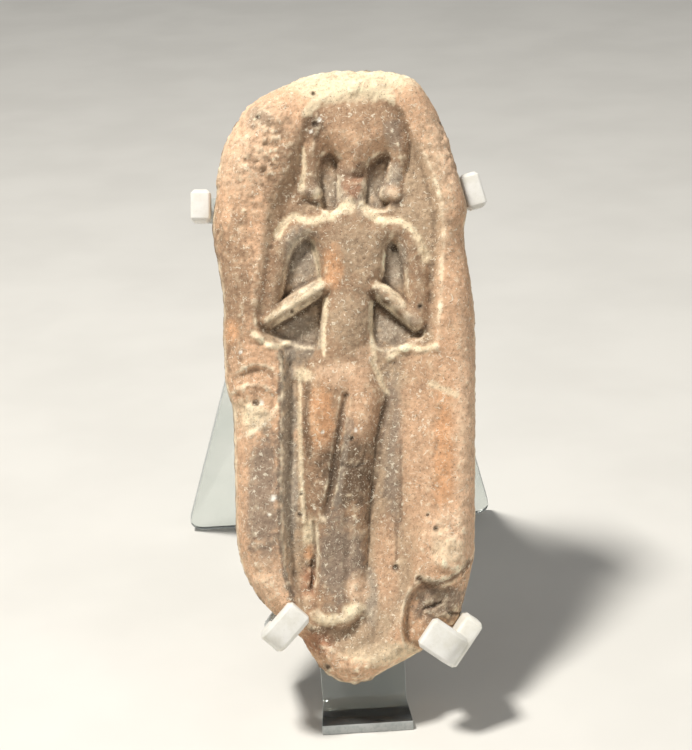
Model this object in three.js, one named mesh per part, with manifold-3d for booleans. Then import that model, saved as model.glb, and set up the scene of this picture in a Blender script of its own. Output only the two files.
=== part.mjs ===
// Goddess relief plaque on its easel: a mould-pressed plaque of fired clay with a standing goddess
// in low relief, held upright and leaning back by a bent sheet of clear acrylic with four arms,
// each ending in a soft white sleeve.
// Millimetres, Z up, the front faces -Y, the origin is on the table under the middle of the box.

import * as THREE from "three";
import { mergeVertices } from "three/addons/utils/BufferGeometryUtils.js";
import Module from "manifold-3d";

const wasm = await Module();
wasm.setup();

// Driving sizes of the stand
const LEAN = THREE.MathUtils.degToRad(22); // how far the plaque leans back from upright
const TURN = THREE.MathUtils.degToRad(3.1); // how far the plaque sits turned clockwise in its arms
const CENTRE_HEIGHT = 72.9; // from the table to the middle of the plaque's back
const CENTRE_ACROSS = -0.8; // the middle of the plaque, from the middle of the stand
const SHEET = 2.5; // thickness of the acrylic sheet and strips
const REST_GAP = 0.3; // clearance between two pieces that rest on each other
const FOOT_REACH = 38.3; // from the middle of the plaque's back forward to the foot's front edge
const LEG_REACH = 73.9; // and backward to the edge that the rear leg stands on
const FOOT_WIDTH = 21;
const NECK_WIDTH = 19.5; // where the foot turns up into the spine
const FOLD_WIDTH = 25; // at the top fold
const LEG_WIDTH = 85.3; // where the rear leg meets the table
const LEG_CORNER = 4.5; // radius of the rear leg's two lower corners
const FOLD_UP = 52; // the top fold, up the lean from the middle of the plaque
const BEND = 4; // radius of every heat bend, at the middle of the sheet

// Driving sizes of the plaque, from its flat back out to the front
const EDGE_OUT = 8; // the widest line of the outline
const RIM_OUT = 17; // the raised rim
const UPPER_DEPTH = 4.6; // the sunk ground round the head and arms, below the rim
const LOWER_DEPTH = 3.6; // the ground beside the legs
const EDGE_ROUND = 5; // how far in from the outline the front rounds over, more at the upper left
const COLUMNS = 44;
const ROWS = 74;

// The plaque's outline, in millimetres across and up from its middle, round from the lower left
const TOP_LEFT = 16;
const TOP_RIGHT = 23;
const BOTTOM_RIGHT = 35;
const OUTLINE = [
  [-14.5, -56], [-18.5, -52], [-22, -47], [-24, -42], [-25, -36], [-25.2, -28], [-25.5, -14.5],
  [-25.7, -7.5], [-27.2, -2.5], [-28, 8.5], [-28, 17.5], [-29, 24.5], [-30.4, 34], [-29.4, 42.5],
  [-28.2, 51], [-25, 58], [-22, 62],
  [-17.5, 64.9], [-10.5, 68], [-3.5, 69.8], [3.5, 69.9], [11, 69.8], [16, 67.8], [19, 64],
  [22.8, 56.5], [25.9, 46.5], [27.9, 39], [27.3, 32.5], [28.5, 24], [29.6, 16], [29.9, 6],
  [29.9, -10], [29.8, -28], [29.4, -42], [27.6, -50], [25.9, -55.5],
  [20.5, -61], [14.5, -64.5], [9, -67.4], [3, -70.2], [-3, -69], [-7.5, -64], [-10, -60],
];

// The edge of the sunk ground
const GROUND = [
  [0.9, 65], [-3.6, 64.5], [-7.3, 62.5], [-10, 58.8], [-12.3, 54.3], [-13.7, 51.1], [-15, 47.5],
  [-16.6, 43.4], [-18, 39.7], [-19.1, 35.6], [-19.8, 30.6], [-20.5, 24.2], [-21.2, 17.4],
  [-20.9, 11.7], [-19.8, 8.3], [-17.5, 6.5], [-15.5, 4.2], [-14.8, 0.3], [-14.8, -5.3],
  [-15, -16.7], [-15, -28.1], [-14.8, -37.2], [-13.7, -46.3], [-11.2, -54.3], [-8, -60],
  [-3.2, -63.2], [3.2, -63.6], [9.1, -60.4], [12.7, -55], [15.5, -48.6], [16.8, -41.8],
  [18.2, -32.7], [19.1, -23.6], [19.6, -14.5], [19.6, -5.3], [19.6, 1.9], [20.5, 7.2],
  [21.2, 12.9], [21.6, 19.7], [22.1, 28.8], [22.1, 36.8], [20.9, 42.5], [18.9, 48.1], [15.9, 54.3],
  [13.2, 59.8], [9.8, 63.2], [5.5, 64.8],
];

// The wig and the worn face as one mass, with a point at the chin and one at the end of a lock
const HEAD = [
  [-9.6, 59.1], [-6.8, 62], [-3.4, 63.9], [0.5, 64.5], [4.6, 64.5], [8.7, 63.6], [11.8, 61.3],
  [13.9, 57.5], [14.6, 53.4], [14.3, 49.7], [13.2, 47.5], [11.6, 47.5], [10, 49.1], [8.7, 51.1],
  [7.1, 50], [5, 47.5], [2.3, 46.1], [0, 46.8], [-1.6, 49.1], [-3.2, 51.1], [-4.8, 52.2],
  [-5.9, 50.4], [-7.3, 48.8], [-9.1, 49.7], [-10, 52.7], [-10.2, 56.1],
];

// Shoulders, chest, waist, hips and legs as one mass
const BODY = [
  [-0.9, 39.3], [-3.4, 37.4], [-6.4, 36.1], [-9.1, 35.2], [-10.9, 33.6], [-9.8, 31.5], [-8, 30.4],
  [-6.8, 27.9], [-6.1, 24.7], [-5.7, 21.3], [-5.5, 17.4], [-5.7, 13.3], [-6.1, 9.4], [-7.1, 6],
  [-8.7, 3.3], [-10, -0.3], [-10.7, -4.4], [-10.7, -11], [-10.2, -16.7], [-9.8, -23.6],
  [-9.1, -30.4], [-8.2, -37.2], [-7.7, -44], [-7.7, -50.9], [-7.3, -54.7], [-4.1, -56.1],
  [-0.5, -55.9], [2.5, -54.1], [4.1, -50.4], [4.6, -44], [5, -37.2], [5.2, -30.4], [5.7, -25.8],
  [6.1, -21.3], [6.6, -16.7], [7.1, -12.2], [8, -8.1], [8.9, -5.3], [8.7, -2.6], [7.3, 0.6],
  [5.9, 3.3], [5, 6], [5.5, 9.2], [6.1, 13.3], [6.4, 17.4], [7.5, 20.4], [8.7, 23.3], [8.9, 27],
  [9.3, 29.7], [11.4, 31.5], [12.7, 33.3], [10, 34.7], [6.8, 36.1], [3.6, 38.4],
];

// Patches of the rim that have broken away
const LEFT_CHIP = [
  [-30, -0.8], [-25, 1], [-20.5, 2.8], [-16.8, 1.7], [-15.3, -1.7], [-15.5, -6.3], [-17.1, -9.4],
  [-19.6, -11.7], [-22.8, -13.5], [-30, -14.5],
];
const CORNER_BREAK = [
  [13.7, -48.6], [16.8, -45.9], [20.9, -46.8], [24.1, -45.6], [26.9, -43.4], [30.5, -39],
  [31, -50.9], [26.9, -59.1], [19.1, -63.2], [13, -60.9], [12.3, -53.6],
];

// Limbs and locks as rounded strokes: path, half width, height above the upper ground
const STROKES = [
  { path: [[-5.5, 35.2], [-9.3, 34], [-12.3, 32], [-14.8, 28.6], [-16.2, 23.3], [-17.3, 17.9],
    [-18.4, 13.1]], half: 2.6, rise: 3.6 }, // upper arm on the left
  { path: [[-18.2, 12.6], [-15, 14.5], [-11.2, 17], [-8, 19], [-4.1, 20.8]], half: 2.2,
    rise: 4 }, // forearm on the left
  { path: [[8.7, 34.3], [12.3, 32.9], [14.6, 29.9], [15.7, 25.6], [16.2, 19.7], [16.2, 13.3]],
    half: 2.8, rise: 3.6 }, // upper arm on the right
  { path: [[15.9, 12.4], [13.2, 14.7], [10.2, 17.4], [6.4, 20.1]], half: 2.2,
    rise: 4 }, // forearm on the right
  { path: [[1.4, 47.5], [1.1, 37.4]], half: 3.4, rise: 2.9 }, // neck
  { path: [[-8.7, 51.6], [-8.4, 43.4]], half: 2.2, rise: 2.7 }, // lock hanging on the left
  { path: [[-9.6, 41.5], [-7.1, 42.5]], half: 2.4, rise: 3.1 }, // its curled end
  { path: [[12.3, 49.3], [10.7, 43.4]], half: 2.4, rise: 2.2 }, // lock hanging on the right
  { path: [[8.9, 41.1], [12.1, 42.2]], half: 2.4, rise: 3 }, // its curled end
  { path: [[-6.8, -53.8], [-4.1, -55], [-0.2, -54.5], [2.3, -52.2]], half: 2.3, rise: 4.6 }, // feet
];

// Grooves: path, half width, depth
const GROOVES = [
  { path: [[-0.2, -4.4], [-1.4, -11], [-2.3, -16.7], [-3.2, -23.6], [-5, -30.8]], half: 1.5,
    sink: 0.9 }, // between the thighs
  { path: [[0.2, -28.1], [0.2, -41.8], [0, -50.4]], half: 1.5, sink: 0.6 }, // between the shins
  { path: [[-12.7, 2.4], [-13, -16.7], [-13, -37.2], [-11.2, -48.6]], half: 1.8, sink: 0.3 },
  { path: [[-9.1, -58.2], [-4.6, -59.5], [0.5, -59.1], [4.6, -55.4]], half: 2.5,
    sink: 0.9 }, // under the feet
  { path: [[-4.1, 51.1], [-1.4, 47.5], [1.4, 45], [4.6, 46.3], [7.7, 49.3]], half: 1.8,
    sink: 0.6 }, // under the wig
  { path: [[-20.5, -5.8], [-20.3, -6.3]], half: 1.4, sink: 1.2 }, // hole in the chipped rim
];

// Swells that round off the larger forms, and dips: middle, half sizes, rise
const SWELLS = [
  { at: [1.4, 54.3], size: [8.2, 8.2], rise: 1 }, // worn face
  { at: [-9.1, 55.7], size: [3, 5.9], rise: -0.6 }, // side of the wig, left
  { at: [13, 55], size: [3, 6.8], rise: -0.5 }, // side of the wig, right
  { at: [-7.1, 56.8], size: [1.6, 1.6], rise: -0.8 }, // pit in the wig
  { at: [-0.2, 28.8], size: [8.2, 6.4], rise: 0.5 }, // chest
  { at: [0.5, 13.3], size: [5.9, 8.2], rise: 0.9 }, // belly
  { at: [0.9, 1], size: [7.7, 4.1], rise: 0.4 }, // hips
  { at: [-6.6, -9.4], size: [4.3, 15], rise: 1.1 }, // left thigh
  { at: [3.4, -8.1], size: [4.6, 13.7], rise: 1 }, // right thigh
  { at: [-1.8, -40.6], size: [6.8, 10], rise: -0.7 }, // shins
  { at: [-2.3, -53.6], size: [7.7, 3.6], rise: 0.9 }, // feet
  { at: [-17.8, 7.6], size: [5.5, 2.3], rise: 1.2 }, // step of the ground, left
  { at: [15, 6], size: [6.8, 2.3], rise: 1.3 }, // step of the ground, right
  { at: [-10.9, 0.6], size: [2.7, 2.7], rise: 0.9 }, // lump beside the hip
  { at: [-24.1, 51.6], size: [13.7, 20.5], rise: 0.7 }, // rim, upper left
  { at: [23.2, -36.1], size: [8.7, 12.5], rise: 1.2 }, // rim, lower right
  { at: [3.6, -65], size: [10, 4.6], rise: 0.9 }, // rim, at the bottom tip
];

const REST_TOP = 0; // height that stands for "no stroke here"

const mix = (a, b, share) => a + (b - a) * share;
const clamp01 = (value) => Math.min(Math.max(value, 0), 1);

function smoothShare(value) {
  const share = clamp01(value);
  return share * share * (3 - 2 * share);
}

// A quarter round: 0 at the edge, 1 once the distance reaches 1
function quarterRound(value) {
  const share = 1 - clamp01(value);
  return Math.sqrt(1 - share * share);
}

// The higher of two surfaces, with a fillet as wide as soft
function filletMax(a, b, soft) {
  const share = clamp01(0.5 + (0.5 * (a - b)) / soft);
  return mix(b, a, share) + soft * share * (1 - share);
}

function distanceToPiece(x, y, [ax, ay], [bx, by]) {
  const dx = bx - ax;
  const dy = by - ay;
  const share = clamp01(((x - ax) * dx + (y - ay) * dy) / (dx * dx + dy * dy));
  return Math.hypot(x - ax - dx * share, y - ay - dy * share);
}

function distanceToPath(x, y, path) {
  let least = Infinity;
  for (let i = 1; i < path.length; i++) {
    least = Math.min(least, distanceToPiece(x, y, path[i - 1], path[i]));
  }
  return least;
}

// Distance in from a closed outline, negative outside it
function depthInside(x, y, ring) {
  let least = Infinity;
  let inside = false;
  for (let i = 0, j = ring.length - 1; i < ring.length; j = i++) {
    least = Math.min(least, distanceToPiece(x, y, ring[i], ring[j]));
    const crosses = ring[i][1] > y !== ring[j][1] > y;
    const rise = (y - ring[i][1]) / (ring[j][1] - ring[i][1]);
    if (crosses && x < mix(ring[i][0], ring[j][0], rise)) inside = !inside;
  }
  return inside ? least : -least;
}

// A smooth closed curve through landmarks, as a ring of short pieces
const STEPS_PER_LANDMARK = 5;
function smoothRing(landmarks) {
  const corners = landmarks.map(([x, y]) => new THREE.Vector3(x, y, 0));
  const curve = new THREE.CatmullRomCurve3(corners, true, "centripetal");
  const points = curve.getPoints(landmarks.length * STEPS_PER_LANDMARK);
  return points.slice(0, -1).map((p) => [p.x, p.y]);
}

const outlineRing = smoothRing(OUTLINE);
const groundRing = smoothRing(GROUND);
const headRing = smoothRing(HEAD);
const bodyRing = smoothRing(BODY);
const leftChipRing = smoothRing(LEFT_CHIP);
const cornerBreakRing = smoothRing(CORNER_BREAK);

// The rim and the sunk ground: deep round the head and arms, shallower beside the legs, where it
// rises again towards the right rim, and shallow at the top and bottom
function floorDepth(x, y) {
  const upper = smoothShare((y - 2.5) / 6);
  const rising = 1 - 0.55 * smoothShare((x - 9) / 9);
  const topAndBottom =
    (1 - 0.3 * smoothShare((-35 - y) / 20)) * (1 - 0.6 * smoothShare((y - 56) / 8));
  return mix(LOWER_DEPTH * rising, UPPER_DEPTH, upper) * topAndBottom;
}

function groundHeight(x, y) {
  const upperLeft = smoothShare((4 - x) / 12) * smoothShare((y - 8) / 12);
  const slope = 2.8 + 2.2 * upperLeft;
  const roll = 0.35 * Math.sin(x * 0.31 + y * 0.12) + 0.3 * Math.sin(y * 0.23 - x * 0.11 + 1);
  return RIM_OUT + roll - floorDepth(x, y) * smoothShare(depthInside(x, y, groundRing) / slope);
}

// A flat-topped mass with a rounded edge, standing on a ground
function massHeight(x, y, ring, round, rise, base) {
  const depth = depthInside(x, y, ring);
  return depth <= 0 ? REST_TOP : base + rise * quarterRound(depth / round);
}

function strokeHeight(x, y, { path, half, rise }, base) {
  const away = distanceToPath(x, y, path) / half;
  return away >= 1 ? REST_TOP : base + rise * (1 - away * away) ** 0.65;
}

function swellHeight(x, y, { at, size, rise }) {
  const away = Math.hypot((x - at[0]) / size[0], (y - at[1]) / size[1]);
  return rise * (1 - smoothShare(away));
}

// Height of the finished front over the flat back
const HEAD_RISE = 4.6;
const BODY_RISE = 3.9;
const FILLET = 1.5;
function frontHeight(x, y) {
  const upperGround = RIM_OUT - UPPER_DEPTH;
  let height = groundHeight(x, y);
  const masses = [
    massHeight(x, y, headRing, 5, HEAD_RISE, upperGround),
    massHeight(x, y, bodyRing, 4.2, BODY_RISE, upperGround),
    ...STROKES.map((stroke) => strokeHeight(x, y, stroke, upperGround)),
  ];
  for (const mass of masses) {
    if (mass > REST_TOP) height = filletMax(height, mass, FILLET);
  }
  for (const swell of SWELLS) height += swellHeight(x, y, swell);
  for (const { path, half, sink } of GROOVES) {
    height -= sink * (1 - smoothShare(distanceToPath(x, y, path) / half));
  }
  height -= 0.9 * smoothShare(depthInside(x, y, leftChipRing) / 3);
  height -= 2.3 * smoothShare(depthInside(x, y, cornerBreakRing) / 2.8);
  const upperLeft = smoothShare((y - 20) / 20) * smoothShare((5 - x) / 10);
  const round = EDGE_ROUND + 2.5 * upperLeft;
  return mix(EDGE_OUT, height, quarterRound(depthInside(x, y, outlineRing) / round));
}

// One side of the outline between two landmarks, as a function of the share of its length
const SIDE_SAMPLES = 240;
function outlineSide(from, to) {
  const corners = OUTLINE.map(([x, y]) => new THREE.Vector3(x, y, 0));
  const curve = new THREE.CatmullRomCurve3(corners, true, "centripetal");
  const points = [];
  const lengths = [0];
  for (let i = 0; i <= SIDE_SAMPLES; i++) {
    const landmark = mix(from, to, i / SIDE_SAMPLES) / OUTLINE.length;
    points.push(curve.getPoint(((landmark % 1) + 1) % 1));
    if (i > 0) lengths.push(lengths[i - 1] + points[i].distanceTo(points[i - 1]));
  }
  return (share) => {
    const length = share * lengths[SIDE_SAMPLES];
    let i = 1;
    while (i < SIDE_SAMPLES && lengths[i] < length) i++;
    const along = clamp01((length - lengths[i - 1]) / (lengths[i] - lengths[i - 1]));
    return points[i - 1].clone().lerp(points[i], along);
  };
}

// Shares from 0 to 1 that lie closer together where the crowding is higher
function crowdedShares(count, crowding) {
  const fine = 400;
  const sums = [0];
  for (let i = 0; i < fine; i++) sums.push(sums[i] + crowding((i + 0.5) / fine));
  const shares = [];
  let i = 0;
  for (let k = 0; k <= count; k++) {
    const wanted = (k / count) * sums[fine];
    while (i < fine - 1 && sums[i + 1] < wanted) i++;
    shares.push((i + (wanted - sums[i]) / (sums[i + 1] - sums[i])) / fine);
  }
  return shares;
}

const nearEdge = (share) => Math.max(0, 1 - Math.min(share, 1 - share) / 0.06);

function acrossCrowding(share) {
  const figure = share > 0.17 && share < 0.83 ? 0.9 : 0;
  return 1 + figure + 2.2 * nearEdge(share);
}

function upCrowding(share) {
  const headAndArms = share > 0.5 && share < 0.94 ? 1 : 0;
  const feet = share > 0.06 && share < 0.16 ? 0.7 : 0;
  return 1 + headAndArms + feet + 1.6 * nearEdge(share);
}

// The plaque: a grid that fills the outline and carries the relief, and a back that rounds in
// ring by ring to a flat middle
const BOTTOM_FADE = 0.42; // share of the height over which the rows lose the bottom's point
const TOP_FADE = 0.3;
const BACK_RINGS = [
  { inward: 0.045, out: 3.6 },
  { inward: 0.13, out: 0.9 },
  { inward: 0.24, out: 0 },
];
const SPINE_LINE = [[-1, -46], [-1, 46]];

function plaqueGeometry() {
  const leftSide = outlineSide(0, TOP_LEFT);
  const topSide = outlineSide(TOP_LEFT, TOP_RIGHT);
  const rightSide = outlineSide(BOTTOM_RIGHT, TOP_RIGHT);
  const bottomSide = outlineSide(OUTLINE.length, BOTTOM_RIGHT);
  const across = crowdedShares(COLUMNS, acrossCrowding);
  const up = crowdedShares(ROWS, upCrowding);

  // Where a side bows away from the straight line between its ends
  const bow = (side, share) => side(share).sub(side(0).lerp(side(1), share));

  const positions = [];
  const faces = [];
  const at = (column, row) => row * (COLUMNS + 1) + column;
  for (const t of up) {
    for (const s of across) {
      const point = leftSide(t).lerp(rightSide(t), s);
      point.addScaledVector(bow(bottomSide, s), Math.max(0, 1 - t / BOTTOM_FADE) ** 1.5);
      point.addScaledVector(bow(topSide, s), Math.max(0, 1 - (1 - t) / TOP_FADE) ** 1.5);
      positions.push([point.x, point.y, 0]);
    }
  }
  const onBorder = (column, row) =>
    column === 0 || row === 0 || column === COLUMNS || row === ROWS;
  for (let row = 0; row <= ROWS; row++) {
    for (let column = 0; column <= COLUMNS; column++) {
      const point = positions[at(column, row)];
      point[2] = onBorder(column, row) ? EDGE_OUT : frontHeight(point[0], point[1]);
    }
  }

  // Each square is cut along the diagonal that bends less, and away from the corners
  const drop = (a, b) => Math.abs(positions[a][2] - positions[b][2]);
  for (let row = 0; row < ROWS; row++) {
    for (let column = 0; column < COLUMNS; column++) {
      const a = at(column, row);
      const b = at(column + 1, row);
      const c = at(column + 1, row + 1);
      const d = at(column, row + 1);
      const lowOrHigh = row === 0 || row === ROWS - 1;
      const atCorner = lowOrHigh && (column === 0 || column === COLUMNS - 1);
      const sameSide = (row === 0) === (column === 0);
      const rising = atCorner ? sameSide : drop(a, c) <= drop(b, d);
      if (rising) faces.push([a, b, c], [a, c, d]);
      else faces.push([a, b, d], [b, c, d]);
    }
  }

  // The border, anticlockwise as seen from the front, then the rings of the back
  let ring = [];
  for (let column = 0; column < COLUMNS; column++) ring.push(at(column, 0));
  for (let row = 0; row < ROWS; row++) ring.push(at(COLUMNS, row));
  for (let column = COLUMNS; column > 0; column--) ring.push(at(column, ROWS));
  for (let row = ROWS; row > 0; row--) ring.push(at(0, row));
  const border = ring.map((index) => positions[index]);
  for (const { inward, out } of BACK_RINGS) {
    const next = border.map(([x, y]) => {
      const spineY = Math.min(Math.max(y, SPINE_LINE[0][1]), SPINE_LINE[1][1]);
      positions.push([mix(x, SPINE_LINE[0][0], inward), mix(y, spineY, inward), out]);
      return positions.length - 1;
    });
    for (let i = 0; i < ring.length; i++) {
      const j = (i + 1) % ring.length;
      faces.push([ring[j], ring[i], next[i]], [ring[j], next[i], next[j]]);
    }
    ring = next;
  }
  const flat = ring.map((index) => new THREE.Vector2(positions[index][0], positions[index][1]));
  for (const [a, b, c] of THREE.ShapeUtils.triangulateShape(flat, [])) {
    faces.push([ring[a], ring[c], ring[b]]);
  }
  return geometryOf(positions, faces);
}

function geometryOf(positions, faces) {
  const geometry = new THREE.BufferGeometry();
  geometry.setAttribute("position", new THREE.Float32BufferAttribute(positions.flat(), 3));
  geometry.setIndex(faces.flat());
  geometry.computeVertexNormals();
  return geometry;
}

// A line bent at its corners: each corner becomes an arc, in steps of about twelve degrees
function bentLine(corners, radius) {
  const line = [corners[0]];
  for (let i = 1; i < corners.length - 1; i++) {
    const before = corners[i - 1].clone().sub(corners[i]).normalize();
    const after = corners[i + 1].clone().sub(corners[i]).normalize();
    const half = Math.acos(before.dot(after)) / 2;
    const back = radius / Math.tan(half);
    const middle = before.clone().add(after).normalize();
    const centre = corners[i].clone().addScaledVector(middle, radius / Math.sin(half));
    const start = corners[i].clone().addScaledVector(before, back).sub(centre);
    const turning = Math.PI - 2 * half;
    const side = Math.sign(before.cross(after));
    const steps = Math.ceil(turning / THREE.MathUtils.degToRad(12));
    for (let k = 0; k <= steps; k++) {
      const angle = (-side * turning * k) / steps;
      line.push(start.clone().rotateAround(new THREE.Vector2(), angle).add(centre));
    }
  }
  line.push(corners[corners.length - 1]);
  return line;
}

// The direction square to a line at one of its points
function normalAt(line, i) {
  const ahead = line[Math.min(i + 1, line.length - 1)];
  const behind = line[Math.max(i - 1, 0)];
  const along = ahead.clone().sub(behind).normalize();
  return new THREE.Vector2(-along.y, along.x);
}

// The easel: one sheet that is the foot, the spine and, past the top fold, the rear leg
function easelGeometry() {
  const up = new THREE.Vector2(Math.sin(LEAN), Math.cos(LEAN)); // along the lean, as back and up
  const out = new THREE.Vector2(-Math.cos(LEAN), Math.sin(LEAN)); // out of the plaque's front
  const onSpine = (climb) =>
    new THREE.Vector2(0, CENTRE_HEIGHT)
      .addScaledVector(up, climb)
      .addScaledVector(out, -REST_GAP - SHEET / 2);
  const heel = onSpine(0);
  heel.addScaledVector(up, (SHEET / 2 - heel.y) / up.y);
  const fold = onSpine(FOLD_UP);
  const corners = [
    new THREE.Vector2(-FOOT_REACH, SHEET / 2),
    heel,
    fold,
  ];
  const legSlope = Math.atan2(fold.y, LEG_REACH - fold.x);
  const rest = new THREE.Vector2(Math.sin(legSlope), Math.cos(legSlope)).multiplyScalar(SHEET / 2);
  corners.push(new THREE.Vector2(LEG_REACH, 0).sub(rest).setY(rest.y));
  const widths = [FOOT_WIDTH, NECK_WIDTH, FOLD_WIDTH, LEG_WIDTH];
  const legDown = corners[3].clone().sub(corners[2]).normalize();
  const line = bentLine(corners, BEND);
  const last = line.pop();
  for (let k = 6; k >= 0; k--) {
    line.push(last.clone().addScaledVector(legDown, -LEG_CORNER * (1 - Math.cos((k * Math.PI) / 12))));
  }

  // Which straight piece a point of the line lies on, and how far along it
  const widthAt = (point) => {
    const pieces = [1, 2, 3].map((i) => {
      const a = corners[i - 1];
      const b = corners[i];
      const length = b.clone().sub(a);
      const share = clamp01(point.clone().sub(a).dot(length) / length.lengthSq());
      const away = a.clone().lerp(b, share).distanceTo(point);
      return { away, width: mix(widths[i - 1], widths[i], share) };
    });
    pieces.sort((a, b) => a.away - b.away);
    return pieces[0].width;
  };

  const positions = [];
  const faces = [];
  line.forEach((point, i) => {
    const normal = normalAt(line, i);
    const toEnd = point.distanceTo(last);
    const cut = i > line.length - 8 ? LEG_CORNER - Math.min(toEnd, LEG_CORNER) : 0;
    const lost = LEG_CORNER - Math.sqrt(LEG_CORNER ** 2 - cut ** 2);
    const half = widthAt(point) / 2 - lost;
    for (const [side, face] of [[-1, 1], [1, 1], [1, -1], [-1, -1]]) {
      const spot = point.clone().addScaledVector(normal, (face * SHEET) / 2);
      positions.push([side * half, spot.x, spot.y]);
    }
  });
  const rings = line.length;
  for (let i = 1; i < rings; i++) {
    for (let k = 0; k < 4; k++) {
      const a = 4 * (i - 1) + k;
      const b = 4 * (i - 1) + ((k + 1) % 4);
      faces.push([a, b, b + 4], [a, b + 4, a + 4]);
    }
  }
  const end = 4 * (rings - 1);
  faces.push([0, 3, 2], [0, 2, 1]);
  faces.push([end, end + 1, end + 2], [end, end + 2, end + 3]);
  return geometryOf(positions, faces);
}

// A line given a thickness, as a closed outline with square ends
function thickened(line, thickness) {
  const offset = (side) =>
    line.map((point, i) => point.clone().addScaledVector(normalAt(line, i), (side * thickness) / 2));
  return [...offset(1).reverse(), ...offset(-1)];
}

// An outline whose sharp corners are rounded
function softened(outline, radius) {
  const soft = [];
  outline.forEach((corner, i) => {
    const before = outline[(i + outline.length - 1) % outline.length].clone().sub(corner);
    const after = outline[(i + 1) % outline.length].clone().sub(corner);
    const turn = Math.PI - Math.acos(before.clone().normalize().dot(after.clone().normalize()));
    if (turn < Math.PI / 3) soft.push(corner);
    else {
      const start = corner.clone().add(before.setLength(radius));
      const finish = corner.clone().add(after.setLength(radius));
      soft.push(...new THREE.QuadraticBezierCurve(start, corner, finish).getPoints(3));
    }
  });
  return soft;
}

// A flat outline given a width, centred on its own plane, with its long edges bevelled if asked
function widened(outline, width, bevel = 0) {
  const geometry = new THREE.ExtrudeGeometry(new THREE.Shape(outline), {
    depth: width - 2 * bevel,
    bevelEnabled: bevel > 0,
    bevelThickness: bevel,
    bevelSize: bevel,
    bevelOffset: -bevel,
    bevelSegments: 1,
    steps: 1,
  });
  return geometry.translate(0, 0, bevel - width / 2);
}

function solidOf(geometry) {
  const bare = geometry.clone();
  bare.deleteAttribute("normal");
  bare.deleteAttribute("uv");
  const merged = mergeVertices(bare, 1e-4);
  const vertProperties = merged.attributes.position.array;
  const triVerts = new Uint32Array(merged.index.array);
  return new wasm.Manifold(new wasm.Mesh({ numProp: 3, vertProperties, triVerts }));
}

function geometryFrom(solid) {
  const mesh = solid.getMesh();
  const geometry = new THREE.BufferGeometry();
  geometry.setAttribute("position", new THREE.BufferAttribute(mesh.vertProperties, 3));
  geometry.setIndex(new THREE.BufferAttribute(mesh.triVerts, 1));
  geometry.computeVertexNormals();
  return geometry;
}

// The four arms. Each is a strip bonded behind the spine, runs out past the plaque's edge and
// bends forward beside it, and the lower two hook back over the front. edge is where it passes the
// outline, heading its inward direction in degrees, back how far it runs in behind the plaque.
const SLEEVE_WALL = 0.75; // over the strip's faces
const SLEEVE_SIDE = 0.4; // over its two sawn sides
const ARM_BEND = 2.6;
const ARM_BACK = -2 * REST_GAP - 1.5 * SHEET; // the strips' middle, behind the bonded spine
const SLEEVE_HALF = SHEET / 2 + REST_GAP + SLEEVE_WALL;
const ARMS = [
  { name: "upper_left", edge: [-29.8, 39], heading: 0, width: 5.9, back: 25, stand: 1, reach: 9.8,
    sleeve: 7.5 },
  { name: "upper_right", edge: [27.1, 42.2], heading: 197, width: 6.9, back: 25, stand: 0.4,
    reach: 6.8, sleeve: 6.2 },
  { name: "lower_left", edge: [-14, -56.1], heading: 49, width: 4.8, back: 15, stand: 0.8,
    reach: 20.2, over: 4.3, sleeve: 7 },
  { name: "lower_right", edge: [22, -59.9], heading: 146, width: 6, back: 21, stand: 0.4,
    reach: 20.2, over: 4.4, sleeve: 10, flare: 4.5 },
];

// An arm's middle line, seen along its width: x is inward over the plaque, y is out of the front.
// past is how far the line is drawn on beyond the tip.
function armCorners({ back, stand, reach, over }, past = 0) {
  const beside = -stand - SLEEVE_HALF;
  const corners = [new THREE.Vector2(back, ARM_BACK), new THREE.Vector2(beside, ARM_BACK)];
  if (over === undefined) corners.push(new THREE.Vector2(beside, reach + past));
  else {
    corners.push(new THREE.Vector2(beside, reach));
    corners.push(new THREE.Vector2(over + past, reach));
  }
  return corners;
}

// The stretch of the same line that the sleeve covers, from its open end to past the tip
function sleeveLine(arm, past, early) {
  const corners = armCorners(arm, past).slice(1);
  corners[0] = new THREE.Vector2(corners[0].x, arm.reach - arm.sleeve - early);
  return bentLine(corners, ARM_BEND);
}

function armGeometry(arm) {
  return widened(thickened(bentLine(armCorners(arm), ARM_BEND), SHEET), arm.width);
}

// A sleeve. flare is how much wider than the hook its standing part is, up along the plaque's edge.
function sleeveGeometry(arm) {
  const { width, stand, reach, sleeve, flare } = arm;
  const wall = REST_GAP + SLEEVE_WALL;
  const wide = width + 2 * (REST_GAP + SLEEVE_SIDE);
  const outer = softened(thickened(sleeveLine(arm, wall, 0), SHEET + 2 * wall), 1.1);
  const inner = thickened(sleeveLine(arm, REST_GAP, 1), SHEET + 2 * REST_GAP);
  let skin = solidOf(widened(outer, wide, 0.8));
  if (flare !== undefined) {
    const near = -stand;
    const far = -stand - 2 * SLEEVE_HALF;
    const low = reach - sleeve;
    const high = reach + SLEEVE_HALF;
    const block = [[near, low], [near, high - 2], [far, high - 2], [far, low]];
    const standing = softened(block.map(([x, y]) => new THREE.Vector2(x, y)), 1.1);
    const wing = widened(standing, wide + flare, 0.8).translate(0, 0, flare / 2);
    skin = skin.add(solidOf(wing));
  }
  const room = solidOf(widened(inner, width + 2 * REST_GAP));
  return geometryFrom(skin.subtract(room));
}

// Colours and finishes
const CLAY = { color: 0xb78f6c, roughness: 0.9, metalness: 0 };
const ACRYLIC = { color: 0xdfe6e4, roughness: 0.15, metalness: 0 };
const SILICONE = { color: 0xece8dd, roughness: 0.5, metalness: 0 };

function piece(name, geometry, finish) {
  const mesh = new THREE.Mesh(geometry, new THREE.MeshStandardMaterial(finish));
  mesh.name = name;
  return mesh;
}

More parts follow.
